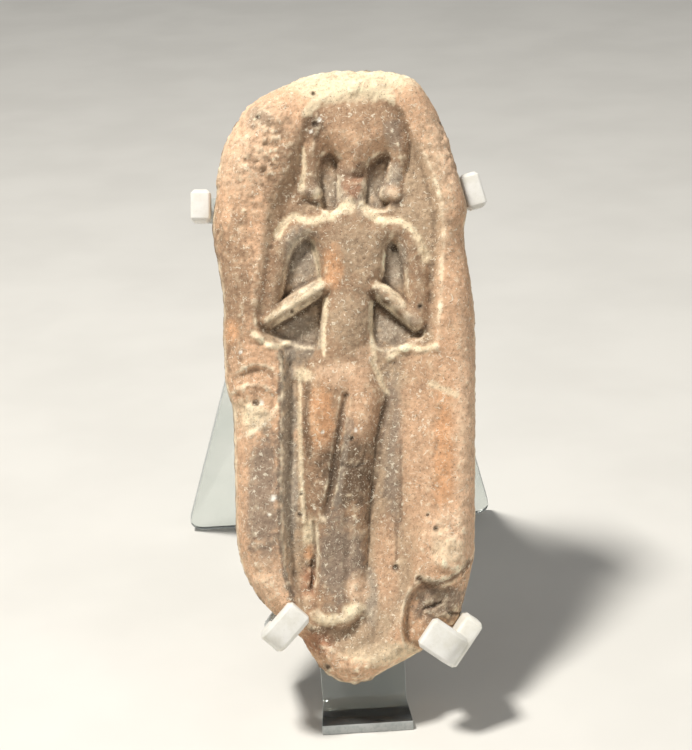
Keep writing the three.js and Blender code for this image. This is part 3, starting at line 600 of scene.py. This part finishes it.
# %% Patches of colour
# Each patch: middle and half sizes in mm, strength, tone
PATCHES = [
    # rim
    # the top of the rim is also painted paler, as painted highlight where it faces the light
    (1, 68.5, 22, 5, 0.85, CREAM),  # top
    (-23, 55, 11, 14, 0.9, PEACH),  # upper left, rough
    (-20, 58.5, 3.4, 2.6, 0.6, MAUVE),
    (22.5, 50, 6, 11, 0.8, PEACH),  # upper right
    (-25.5, 20, 5.5, 18, 0.85, BROWN),  # left side
    (-26, 10, 1.8, 2.8, 0.7, ORANGE),
    (-20.7, -3, 6, 5, 0.85, TAN),  # left chip
    (-21.9, -9, 4.5, 4, 0.85, CREAM),
    (-19, -27, 4.5, 16, 0.85, MAUVE),  # lower left
    (-24, -21, 1.8, 16, 0.7, TAN),
    (-19, -48.5, 6, 7, 0.9, PEACH),
    (24, 17, 4.5, 25, 0.8, TAN),  # right side
    (21.5, -18, 2.8, 16, 0.85, ORANGE),
    (27.3, -12, 2.8, 25, 0.8, PEACH),
    (23, -36, 6.6, 6.6, 0.9, PEACH),  # lower right
    # painted highlight on the lobe of the lower right rim
    (22.5, -39, 4, 3, 0.5, CREAM),
    (21.5, -51.5, 7.5, 4.8, 0.85, MAUVE),  # broken corner
    (0, -67, 12, 5, 0.9, TAN),  # tip
    (7.5, -62.5, 9, 2.8, 0.7, CREAM),
    # sunk ground
    (-14, 43, 4.6, 15, 0.8, BROWN),  # left of the head
    (18.5, 40, 4.8, 17, 0.75, BUFF),  # right of the head
    (1.5, 43, 10, 6, 0.7, GREY),  # beside the neck
    (-10.5, 26, 4, 7.5, 0.8, GREY),  # inside the left arm
    (11, 25, 3, 7, 0.8, GREY),  # inside the right arm
    (-10.5, 9.5, 5.5, 5.5, 0.75, GREY),  # under the left arm
    (11, 11.5, 6.5, 6, 0.75, GREY),  # under the right arm
    (-13, -20, 2.2, 26, 0.85, GREY),  # beside the left leg
    (10.5, -16, 2.8, 21, 0.8, MAUVE),  # beside the right leg
    (16, -16, 4, 26, 0.85, TAN),
    (9, -42, 3, 11, 0.8, TAN),
    (5.5, -50, 1.6, 7, 0.7, GREY),
    (2, -59.5, 8, 3.4, 0.75, BUFF),  # under the feet
    (-6.4, -60, 4.4, 3, 0.9, RUST),
    # figure
    (1.4, 53, 9.6, 8, 0.8, TAN),  # worn head
    (1.5, 58, 8, 3, 0.5, BROWN),
    # painted highlight along the top of the wig
    (1, 63.8, 11.8, 2.2, 0.8, CREAM),  # top of the wig
    (-7.5, 56.5, 2.2, 3.6, 0.75, UMBER),  # sides of the wig
    (10.5, 55, 2.2, 4, 0.7, MAUVE),
    (-8.2, 46, 1.8, 3.6, 0.6, BROWN),  # locks
    (11.2, 46, 1.8, 3, 0.6, GREY),
    # painted highlight on the lit top of the right curl
    (10.5, 41.6, 1.6, 1.6, 0.6, PEACH),
    (1.4, 43.4, 2.6, 3.4, 0.75, RUST),  # neck
    # painted highlight on the crest at the hollow of the throat
    (0.5, 38.4, 1.8, 2, 0.8, CREAM),  # hollow of the throat
    (2.5, 29, 6.5, 7, 0.85, BUFF),  # chest
    (-3.2, 24.5, 2.2, 5, 0.8, ORANGE),
    (0, 12, 5.5, 7, 0.85, BUFF),  # belly
    (-16, 23, 2.6, 9, 0.75, BROWN),  # arms
    (16, 21, 2.6, 9, 0.75, BROWN),
    (-11.5, 16.5, 6.8, 2.5, 0.6, BUFF),
    (11.5, 16.5, 6, 3.4, 0.8, BROWN),
    (-1, 0.5, 6.5, 3, 0.85, PEACH),  # hips
    (4.3, 5, 2, 2, 0.8, PEACH),
    (-5.9, -9, 3.2, 7.8, 0.85, ORANGE),  # thighs
    (2.7, -6.5, 4.6, 7.8, 0.85, TAN),
    (0, -21.5, 7.3, 7.5, 0.9, UMBER),  # knees
    (-1.5, -41.5, 5.6, 11.5, 0.85, MAUVE),  # shins
    (-8.4, -35.5, 1.6, 3.4, 0.9, CREAM),
    (-8.4, -40, 1.1, 2, 0.8, ORANGE),
    (-8.4, -47, 2, 4.5, 0.85, RUST),
    (2.3, -48, 2.6, 3.4, 0.8, PEACH),
    # painted highlight on the lit top of the feet's ledge
    (-3.6, -54.8, 4.6, 1.4, 0.8, CREAM),  # feet
    (1.4, -52.7, 2.5, 1.8, 0.85, CREAM),
    (-9.6, 0.2, 2, 1.7, 0.8, CREAM),  # lump
    (-11.2, -13.3, 1.1, 1.6, 0.9, PEACH),
]

# %% Worn crests with painted highlights, dark seams and painted shadows
# Each line: path, half width, strength, tone
LINES = [
    # painted highlight along the top of the wig, over its worn crest
    ([(-9.1, 59.5), (-6.4, 62.3), (-3.6, 63.4), (-0.2, 64.3), (3.2, 64.5), (6.6, 63.8),
      (10, 62.7)], 1.2, 0.75, CREAM),  # top of the wig
    ([(-9.8, 51.6), (-9.6, 47), (-10.2, 42.4)], 0.6, 0.7, CREAM),  # left lock
    # painted highlights along the shoulders' upper edges, which face the light, over worn crests
    ([(-0.9, 38.4), (-3.6, 36.3), (-5.9, 35.6), (-8.2, 34.9), (-10.5, 35.8), (-12.3, 35.8),
      (-14.3, 34.3), (-15.5, 32)], 1, 0.85, CREAM),  # left shoulder
    ([(3.6, 39), (5, 37.2), (7.7, 35.4), (12.3, 35.2), (15, 32.9), (16.8, 29.9), (18, 26.5)],
     1.1, 0.85, CREAM),  # right shoulder
    # painted highlights on the forearms' upper edges, over worn crests
    ([(-17.8, 12.9), (-13.9, 15.4), (-9.8, 17.8), (-5.5, 20.8)], 0.7, 0.65, CREAM),  # forearms
    ([(6.8, 21.2), (10.5, 18.6), (13.2, 16.3)], 0.7, 0.5, CREAM),
    # painted highlights on the lit left sides of the chest and belly
    ([(-7.7, 30.4), (-6.6, 26.1), (-6.1, 22)], 0.5, 0.7, CREAM),  # side of the chest
    ([(-4.6, 17.4), (-5, 10.6), (-5.2, 4.9)], 0.6, 0.8, CREAM),  # sides of the belly
    ([(5.7, 16.3), (5.7, 9.4), (6.4, 4.2)], 0.6, 0.7, CREAM),
    ([(5.9, 3.3), (7.7, -0.8), (9.1, -4)], 0.7, 0.8, CREAM),  # right hip
    # painted highlights on the crests of the steps, which face up to the light
    ([(-20.9, 9.7), (-19.1, 7.9), (-16.2, 6.7), (-13.4, 7.6)], 0.7, 0.85, CREAM),  # steps
    ([(9.6, 4), (12.1, 5.8), (14.1, 6.7), (16.8, 6), (19.8, 6.9)], 0.7, 0.85, CREAM),
    # painted highlight on the lit left edge of the leg
    ([(-10.5, -0.3), (-10.5, -12.2), (-10.2, -23.6), (-9.6, -32.7)], 0.6, 0.7, CREAM),
    # painted highlight on the rim's inner edge, which faces the light
    ([(19.1, -1.7), (22.5, -3.1), (24.8, -4.2)], 0.7, 0.7, CREAM),  # over the smooth band
    ([(10.7, -5.8), (9.3, -13.3), (8, -22.4), (6.6, -32.7)], 0.6, 0.5, BUFF),
    # painted highlight on the lit edge of the right leg beside the groove
    ([(0.6, -9.9), (-0.6, -19), (-2.4, -29)], 0.7, 0.5, GREY),
    # painted shadow under the face
    ([(-5.5, 49.7), (-3.2, 48.1), (-0.2, 45.6), (2.7, 46.3), (5.9, 48.8), (9.1, 50.2)],
     1.1, 0.65, UMBER),  # under the head
    # painted shade under the curls
    ([(-10.4, 39.4), (-7, 39.2)], 0.7, 0.7, UMBER),  # under the curls
    ([(8.6, 39.2), (12, 39.2)], 0.7, 0.7, UMBER),
    # painted shadows under the forearms
    ([(-19.1, 10.8), (-15, 12.2), (-11.6, 14), (-8.6, 16.3), (-5.5, 18.8)], 0.9, 0.6, UMBER),
    ([(5.9, 19), (8.9, 15.6), (12.3, 12.4), (15.7, 10.1), (17.8, 10.6)], 1, 0.7, UMBER),
    # painted shade in the groove between the legs
    ([(-0.9, -5.8), (-1.6, -12.2), (-2.5, -19), (-3.6, -25.8), (-4.6, -30.8)], 0.6, 0.55, SOOT),
    ([(-8.9, -1.9), (-9.3, -9.9), (-8.4, -17.9)], 0.9, 0.7, UMBER),  # sides of the thighs
    # painted shade on the right leg's side, which faces away from the light
    ([(9.1, -4.9), (7.7, -12.2), (6.4, -21.3), (5, -32.7)], 0.9, 0.75, UMBER),
    # painted shadow along the foot of the left rim's inner edge
    ([(-14.8, 5.6), (-15, -9.9), (-15.2, -28.1), (-14.3, -41.8), (-12.1, -50.9)],
     0.6, 0.7, SOOT),  # foot of the left rim
    ([(12.3, -14.5), (12.3, -32.7)], 0.4, 0.5, UMBER),
    ([(-0.9, -19.9), (1.4, -20.4), (3.6, -19.7)], 0.4, 0.6, SOOT),
    ([(11.4, -32.7), (11.4, -41.8)], 0.4, 0.5, UMBER),
    ([(-7.5, -33), (-7.3, -40), (-7.9, -48)], 0.4, 0.4, SOOT),
    # painted shadow under the lip over the broken corner
    ([(16.2, -45.6), (19.1, -46.8), (22.5, -45.9), (25.9, -44.3), (27.8, -42)], 0.9, 0.8, UMBER),
    ([(17.8, -52.7), (21.4, -51.3)], 0.4, 0.8, SOOT),
    ([(23.4, -53.8), (26.4, -54.1)], 0.4, 0.8, SOOT),
    # painted shadow under the feet
    ([(-7.7, -57), (-2.5, -57.9), (1.4, -56.6), (3.9, -53.8)], 0.9, 0.75, UMBER),  # under the feet
    ([(-5.5, -67), (0, -70), (6, -69)], 0.8, 0.4, UMBER),  # under the tip
]
WHITE_SPOTS = [
    (-16.6, -27.4, 0.8), (-19.1, -6, 0.6), (-5.5, -12.6, 0.45), (2, -12.2, 0.4), (3.2, -11.9, 0.3),
    (-6.2, 57.8, 0.5), (-8.1, 55.2, 0.4), (-23.9, 5.5, 0.5), (-22.8, 2, 0.4), (-17.5, -31, 0.4),
]
print(len(PATCHES), "patches,", len(LINES), "lines")

# %% Paint the plaque
WEAR_AND_HIGHLIGHT_TONE = (252, 236, 204)
HOLLOW_SHADE_TONE = (86, 72, 58)


def linear(colour):
    """A colour from 0 to 255 as Blender's linear light."""
    share = np.array(colour) / 255
    return np.where(share <= 0.04045, share / 12.92, ((share + 0.055) / 1.055) ** 2.4)


def paint(colours, colour, cover):
    cover = np.clip(cover, 0, 1)[:, None]
    return colours * (1 - cover) + linear(colour) * cover


def blurred(values, passes):
    for _ in range(passes):
        padded = np.pad(values, 1, mode="edge")
        values = (padded[:-2, 1:-1] + padded[2:, 1:-1] + padded[1:-1, :-2] + padded[1:-1, 2:]) / 4
    return values


x, y, z = places.T
broad, medium, small = lumps(places, 7, 1), lumps(places, 2.4, 2), lumps(places, 0.9, 3)
ragged = 0.12 * broad + 0.2 * medium + 0.22 * small
on_front = np.arange(len(places)) < front_count

colours = np.tile(linear(TAN), (len(places), 1))
sunk = smooth_share(depth_inside(x, y, GROUND) / 2 + ragged)
colours = paint(colours, BUFF, sunk)
figure = np.maximum(depth_inside(x, y, BODY), depth_inside(x, y, HEAD))
for path, half, _ in STROKES:
    figure = np.maximum(figure, half - distance_to_path(x, y, np.array(path)))
colours = paint(colours, BROWN, smooth_share(figure / 0.8 + 0.3 + ragged))
for cx, cy, wide, tall, strength, tone in PATCHES:
    away = np.hypot((x - cx) / wide, (y - cy) / tall) + ragged
    colours = paint(colours, tone, strength * (1 - smooth_share((away - 0.55) / 0.75)))
for path, half, strength, tone in LINES:
    away = distance_to_path(x, y, smooth_curve(path, closed=False)) / half + 1.6 * ragged
    colours = paint(colours, tone, strength * (1 - smooth_share((away - 0.5) / 0.8)))
# the pits are painted dark: painted shade in them
for cx, cy, radius in PITS:
    colours = paint(colours, SOOT, 0.9 * (1 - smooth_share(np.hypot(x - cx, y - cy) / radius - 0.3)))
for cx, cy, radius in WHITE_SPOTS:
    away = np.hypot(x - cx, y - cy) / radius + ragged
    colours = paint(colours, WHITE, 1 - smooth_share(away / 0.6 - 1))
back = smooth_share((6.5 - z) / 3 + ragged) * (on_front < 1)
colours = paint(colours, TAN, back)

front_z = z[:front_count].reshape(ROWS + 1, COLUMNS + 1)
fine = (front_z - blurred(front_z, 5)).ravel()
coarse = (front_z - blurred(front_z, 50)).ravel()
wear_and_highlight = np.zeros(len(places))
hollow_shade = np.zeros(len(places))
# paler on fine crests and broad rises: worn clay, and painted highlight where the crests catch the
# light
wear_and_highlight[:front_count] = smooth_share(fine / 0.16 - 0.2) * 0.6 + smooth_share(coarse / 1.2 - 0.4) * 0.15
# darker in fine hollows and in broad deep places: painted shade
hollow_shade[:front_count] = smooth_share(-fine / 0.16 - 0.2) * 0.5 + smooth_share(-coarse / 1.2 - 0.3) * 0.3
colours = paint(colours, WEAR_AND_HIGHLIGHT_TONE, wear_and_highlight * (0.75 + 0.8 * medium))
colours = paint(colours, HOLLOW_SHADE_TONE, hollow_shade * (0.8 + 0.4 * medium))
shade = 1 + 0.08 * broad + 0.12 * medium + 0.16 * small
colours = np.clip(colours * shade[:, None], 0, 1)

painted = plaque.data.color_attributes.new("clay", "FLOAT_COLOR", "POINT")
rgba = np.concatenate([colours, np.ones((len(places), 1))], axis=1)
painted.data.foreach_set("color", rgba.astype(np.float32).ravel())
marks = plaque.data.attributes.new("roughness", "FLOAT", "POINT")
marks.data.foreach_set("value", roughness.astype(np.float32))
print("mean colour:", (colours.mean(0)).round(3))

# %% Put the plaque in its place
def settle(obj, node):
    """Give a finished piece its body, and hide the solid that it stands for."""
    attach(obj, "root")
    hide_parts(node)
    print(obj.name, "stands for", node, "with", len(obj.data.polygons), "faces")


plaque.data.transform(to_place)
plaque.data.update()
settle(plaque, "plaque")

# %% [markdown]
# ## The material of the clay
# The painted colours are the base. Procedural noise adds what is finer than the mesh: grains
# of white temper, dark specks and tiny pits, with a bump that makes the light catch them. The
# pits are also painted dark, as painted shade in them. The noise reads Object coordinates, so
# it keeps its scale in metres.

# %% Node helpers
class Nodes:
    """Adds nodes to one material and joins them with short calls."""

    def __init__(self, name):
        self.material = bpy.data.materials.new(name)
        self.material.use_nodes = True
        self.tree = self.material.node_tree
        self.shader = self.tree.nodes["Principled BSDF"]
        self.place = self.tree.nodes.new("ShaderNodeTexCoord").outputs["Object"]

    def add(self, kind, outputs=0, settings=None, **inputs):
        node = self.tree.nodes.new("ShaderNode" + kind)
        for key, value in (settings or {}).items():
            setattr(node, key, value)
        for key, value in inputs.items():
            self.put(node.inputs[int(key[1:]) if key[1:].isdigit() else key.replace("_", " ")], value)
        return node.outputs[outputs]

    def put(self, socket, value):
        if isinstance(value, bpy.types.NodeSocket):
            self.tree.links.new(value, socket)
        else:
            socket.default_value = value

    def noise(self, per_mm, detail=3, roughness=0.6, distortion=0.0):
        return self.add("TexNoise", 0, Vector=self.place, Scale=per_mm / MM, Detail=detail,
                        Roughness=roughness, Distortion=distortion)

    def cells(self, per_mm, feature="F1"):
        return self.add("TexVoronoi", 0, {"feature": feature}, Vector=self.place,
                        Scale=per_mm / MM)

    def ramp(self, value, low, high, start=0.0, finish=1.0):
        return self.add("MapRange", 0, {"interpolation_type": "SMOOTHSTEP"}, Value=value,
                        From_Min=low, From_Max=high, To_Min=start, To_Max=finish)

    def maths(self, operation, a, b=0.0):
        return self.add("Math", 0, {"operation": operation}, i0=a, i1=b)

    def mixed(self, share, a, b, blend="MIX"):
        node = self.tree.nodes.new("ShaderNodeMix")
        node.data_type = "RGBA"
        node.blend_type = blend
        for index, value in ((0, share), (6, a), (7, b)):
            self.put(node.inputs[index], value)
        return node.outputs[2]

    def attribute(self, name, outputs="Color"):
        node = self.tree.nodes.new("ShaderNodeAttribute")
        node.attribute_name = name
        return node.outputs[outputs]


def rgb(*colour):
    return (*linear(colour), 1)


# %% Clay material
clay = Nodes("fired_clay")
rough_here = clay.attribute("roughness", "Fac")
grain = clay.noise(1.1, 5, 0.7)
speckle = clay.noise(2.4, 4, 0.7)
blotch = clay.noise(0.3, 4, 0.65)
flecks = clay.noise(1.5, 3, 0.6, 1.6)
threads = clay.noise(0.55, 2, 0.5, 0.8)
broken = clay.noise(0.9, 2, 0.5)
pits = clay.cells(1.3)

colour = clay.attribute("clay")
colour = clay.mixed(clay.ramp(grain, 0.42, 0.75, 0, 0.4), colour, rgb(112, 88, 70))
colour = clay.mixed(clay.ramp(blotch, 0.5, 0.72, 0, 0.22), colour, rgb(244, 218, 182))
colour = clay.mixed(clay.ramp(speckle, 0.57, 0.66, 0, 0.4), colour, rgb(70, 56, 46))
colour = clay.mixed(clay.ramp(speckle, 0.42, 0.32, 0, 0.35), colour, rgb(252, 236, 208))
colour = clay.mixed(clay.ramp(flecks, 0.62, 0.68, 0, 0.45), colour, rgb(253, 240, 214))
line = clay.maths("ABSOLUTE", clay.maths("SUBTRACT", threads, 0.5))
thread = clay.maths("MULTIPLY", clay.ramp(line, 0.028, 0.012), clay.ramp(broken, 0.52, 0.58))
colour = clay.mixed(clay.maths("MULTIPLY", thread, 0.55), colour, rgb(254, 244, 220))
# the tiny pits are painted dark, as painted shade in them
colour = clay.mixed(clay.ramp(pits, 0.16, 0.08, 0, 0.7), colour, rgb(56, 45, 38))
clay.put(clay.shader.inputs["Base Color"], colour)
clay.put(clay.shader.inputs["Roughness"], clay.ramp(grain, 0.3, 0.7, 0.78, 0.98))
clay.shader.inputs["Specular IOR Level"].default_value = 0.25

relief = clay.maths("MULTIPLY", grain, clay.maths("ADD", 0.9, rough_here))
relief = clay.maths("ADD", relief, clay.maths("MULTIPLY", speckle, 0.5))
relief = clay.maths("ADD", relief, clay.maths("MULTIPLY", thread, 0.15))
relief = clay.maths("ADD", relief, clay.ramp(pits, 0.0, 0.22, -0.5, 0.0))
bumps = clay.add("Bump", 0, Strength=0.7, Distance=0.35 * MM, Height=relief)
clay.put(clay.shader.inputs["Normal"], bumps)
plaque.data.materials.clear()
plaque.data.materials.append(clay.material)
print("clay nodes:", len(clay.tree.nodes))

# %% [markdown]
# ## The clear sheet
# The easel and its arms are sawn from clear sheet and bent while hot. Each piece starts as a
# copy of its solid. Its triangles are merged into whole faces again, the cut edges get a fine
# bevel, and the cut faces get a frosted material, because a saw leaves them white. On the
# easel, narrow bands along the edges of the rear leg's and the foot's broad faces get the same
# frosted material: a painted reflection of the cut edges, seen through the clear sheet.

# %% Copy a solid
def copy_solid(node, name):
    deselect_all()
    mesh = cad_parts[node].data.copy()
    mesh.materials.clear()
    obj = bpy.data.objects.new(name, mesh)
    bpy.context.collection.objects.link(obj)
    obj.select_set(True)
    bpy.context.view_layer.objects.active = obj
    bpy.ops.object.mode_set(mode="EDIT")
    bpy.ops.mesh.select_all(action="SELECT")
    bpy.ops.mesh.remove_doubles(threshold=0.005 * MM)
    bpy.ops.mesh.dissolve_limited(angle_limit=radians(1))
    bpy.ops.object.mode_set(mode="OBJECT")
    return obj


def bevel(obj, width, segments, material=-1, angle=radians(35)):
    modifier = obj.modifiers.new("soft edges", "BEVEL")
    modifier.width = width * MM
    modifier.segments = segments
    modifier.limit_method = "ANGLE"
    modifier.angle_limit = angle
    modifier.material = material
    modifier.harden_normals = False
    bpy.ops.object.modifier_apply(modifier=modifier.name)
    bpy.ops.object.shade_smooth_by_angle(angle=radians(32))


print("easel solid:", len(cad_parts["easel"].data.polygons), "triangles")

# %% Clear and frosted materials
clear = Nodes("clear_acrylic")
smudge = clear.noise(0.06, 3, 0.6)
scratches = clear.noise(1.5, 2, 0.5)
clear.put(clear.shader.inputs["Base Color"],
          clear.mixed(clear.ramp(smudge, 0.4, 0.7), rgb(238, 243, 240), rgb(226, 233, 230)))
clear.put(clear.shader.inputs["Roughness"], clear.ramp(smudge, 0.45, 0.75, 0.04, 0.12))
clear.shader.inputs["Transmission Weight"].default_value = 0.93
clear.shader.inputs["IOR"].default_value = 1.49
clear.put(clear.shader.inputs["Normal"],
          clear.add("Bump", 0, Strength=0.05, Distance=0.05 * MM, Height=scratches))

# the frosted material is also laid on the easel's bands, as a painted reflection of cut edges seen
# through the sheet
frosted = Nodes("sawn_acrylic_and_edge_reflection")
saw = frosted.noise(1.2, 3, 0.6)
frosted.put(frosted.shader.inputs["Base Color"],
            frosted.mixed(frosted.ramp(saw, 0.35, 0.7), rgb(240, 243, 240), rgb(216, 222, 219)))
frosted.put(frosted.shader.inputs["Roughness"], frosted.ramp(saw, 0.3, 0.7, 0.4, 0.65))
frosted.shader.inputs["Transmission Weight"].default_value = 0.45
frosted.shader.inputs["IOR"].default_value = 1.49
frosted.put(frosted.shader.inputs["Normal"],
            frosted.add("Bump", 0, Strength=0.3, Distance=0.1 * MM, Height=saw))
print("clear and frosted materials made")

# %% Easel
LEG_REFLECTION_BAND = 4.2  # width of the pale band along the rear leg's edges, a painted reflection of its cut edges seen through the sheet, in mm
FOOT_REFLECTION_BAND = 1.2  # and along the foot's
LARGE = 400 * MM * MM  # area over which a face is one of the sheet's own, not a cut edge


def inset_band(obj, wanted, width):
    """Cut a band of that width just inside some faces' borders. Returns the band's faces."""
    before = len(obj.data.polygons)
    for face in obj.data.polygons:
        face.select = wanted(face)
    bpy.ops.object.mode_set(mode="EDIT")
    bpy.ops.mesh.select_mode(type="FACE")
    bpy.ops.mesh.inset(thickness=width * MM, depth=0)
    bpy.ops.object.mode_set(mode="OBJECT")
    return range(before, len(obj.data.polygons))


def clear_piece(node, name):
    """A copy of a clear solid, with the clear and the frosted material ready for its faces."""
    obj = copy_solid(node, name)
    obj.data.materials.append(clear.material)
    obj.data.materials.append(frosted.material)
    return obj


easel = clear_piece("easel", "easel_sheet")
leg_lean = 0.4  # the rear leg's normals lean this far from level
on_leg = inset_band(easel, lambda f: f.area > LARGE and abs(abs(f.normal.z) - leg_lean) < 0.02
                    and abs(f.normal.y) > 0.9 and f.center.y > 0, LEG_REFLECTION_BAND)
on_foot = inset_band(easel, lambda f: f.area > LARGE and abs(f.normal.z) > 0.99, FOOT_REFLECTION_BAND)
# the bands get the frosted material as a painted reflection of the cut edges seen through the clear
# sheet
reflection_band_faces = [i for i in (*on_leg, *on_foot)]
for face in easel.data.polygons:
    front_edge = face.normal.y < -0.9 and face.area < LARGE and face.center.z < 4 * MM
    sawn = abs(face.normal.x) > 0.5 or front_edge
    face.material_index = 1 if face.index in reflection_band_faces or sawn else 0
bevel(easel, 0.3, 2)
settle(easel, "easel")

# %% Arms
ARMS = ("upper_left", "upper_right", "lower_left", "lower_right")
for corner in ARMS:
    arm = clear_piece("arm_" + corner, "arm_strip_" + corner)
    widest = max(face.area for face in arm.data.polygons)
    for face in arm.data.polygons:
        face.material_index = 1 if len(face.vertices) > 4 or face.area < widest * 0.1 else 0
    bevel(arm, 0.25, 2)
    settle(arm, "arm_" + corner)

# %% [markdown]
# ## The soft sleeves
# Each arm ends in a short white silicone sleeve, so that the acrylic never touches the clay.
# Rubber has no sharp edge anywhere, so the copies get a wide bevel and a smooth shading. The
# material is milky: a little light goes through it, and its skin has a dull sheen.

# %% Silicone
silicone = Nodes("white_silicone")
cloud = silicone.noise(0.25, 4, 0.6)
dust = silicone.noise(2.2, 3, 0.6)
colour = silicone.mixed(silicone.ramp(cloud, 0.3, 0.7), rgb(238, 236, 229), rgb(222, 219, 208))
colour = silicone.mixed(silicone.ramp(dust, 0.62, 0.75, 0, 0.3), colour, rgb(186, 180, 166))
silicone.put(silicone.shader.inputs["Base Color"], colour)
silicone.put(silicone.shader.inputs["Roughness"], silicone.ramp(cloud, 0.3, 0.7, 0.42, 0.58))
silicone.shader.inputs["Subsurface Weight"].default_value = 0.35
silicone.shader.inputs["Subsurface Radius"].default_value = (2 * MM, 2 * MM, 1.8 * MM)
silicone.shader.inputs["Subsurface Scale"].default_value = 1
silicone.put(silicone.shader.inputs["Normal"],
             silicone.add("Bump", 0, Strength=0.15, Distance=0.08 * MM, Height=dust))

for corner in ARMS:
    sleeve = copy_solid("pad_" + corner, "sleeve_" + corner)
    sleeve.data.materials.append(silicone.material)
    bevel(sleeve, 0.45, 3, angle=radians(28))
    bpy.ops.object.shade_smooth_by_angle(angle=radians(70))
    settle(sleeve, "pad_" + corner)

# %% [markdown]
# ## Floor and light
# The plaque is seen best under a soft key light from high on the left, which draws the relief
# with short shadows, over a pale floor that the clear sheet can show against.

# %% Floor, lights and world
bpy.ops.mesh.primitive_plane_add(size=6, location=(0, 0, 0))
floor = bpy.context.object
floor.name = "floor"
paper = Nodes("pale_paper")
fibre = paper.noise(0.02, 3, 0.5)
paper.put(paper.shader.inputs["Base Color"],
          paper.mixed(paper.ramp(fibre, 0.3, 0.7), rgb(222, 220, 214), rgb(216, 214, 208)))
paper.shader.inputs["Roughness"].default_value = 0.9
floor.data.materials.append(paper.material)


def area_light(name, place, aim_at, size, power, colour=(1, 1, 1)):
    bpy.ops.object.light_add(type="AREA", location=place)
    light = bpy.context.object
    light.name = name
    light.data.size = size
    light.data.energy = power
    light.data.color = colour
    light.rotation_euler = (Vector(place) - Vector(aim_at)).to_track_quat("Z", "Y").to_euler()
    print(name, "at", place)


aim_m = aim * MM
area_light("key", (-0.32, -0.2, 1), aim_m, 0.15, 13, (1, 0.97, 0.92))
area_light("fill", (0.8, -0.7, 0.45), aim_m, 0.9, 2)
world = bpy.data.worlds.new("studio")
bpy.context.scene.world = world
world.use_nodes = True
world.node_tree.nodes["Background"].inputs["Color"].default_value = (1, 1, 1, 1)
world.node_tree.nodes["Background"].inputs["Strength"].default_value = 0.26
bpy.context.scene.view_settings.view_transform = "Standard"
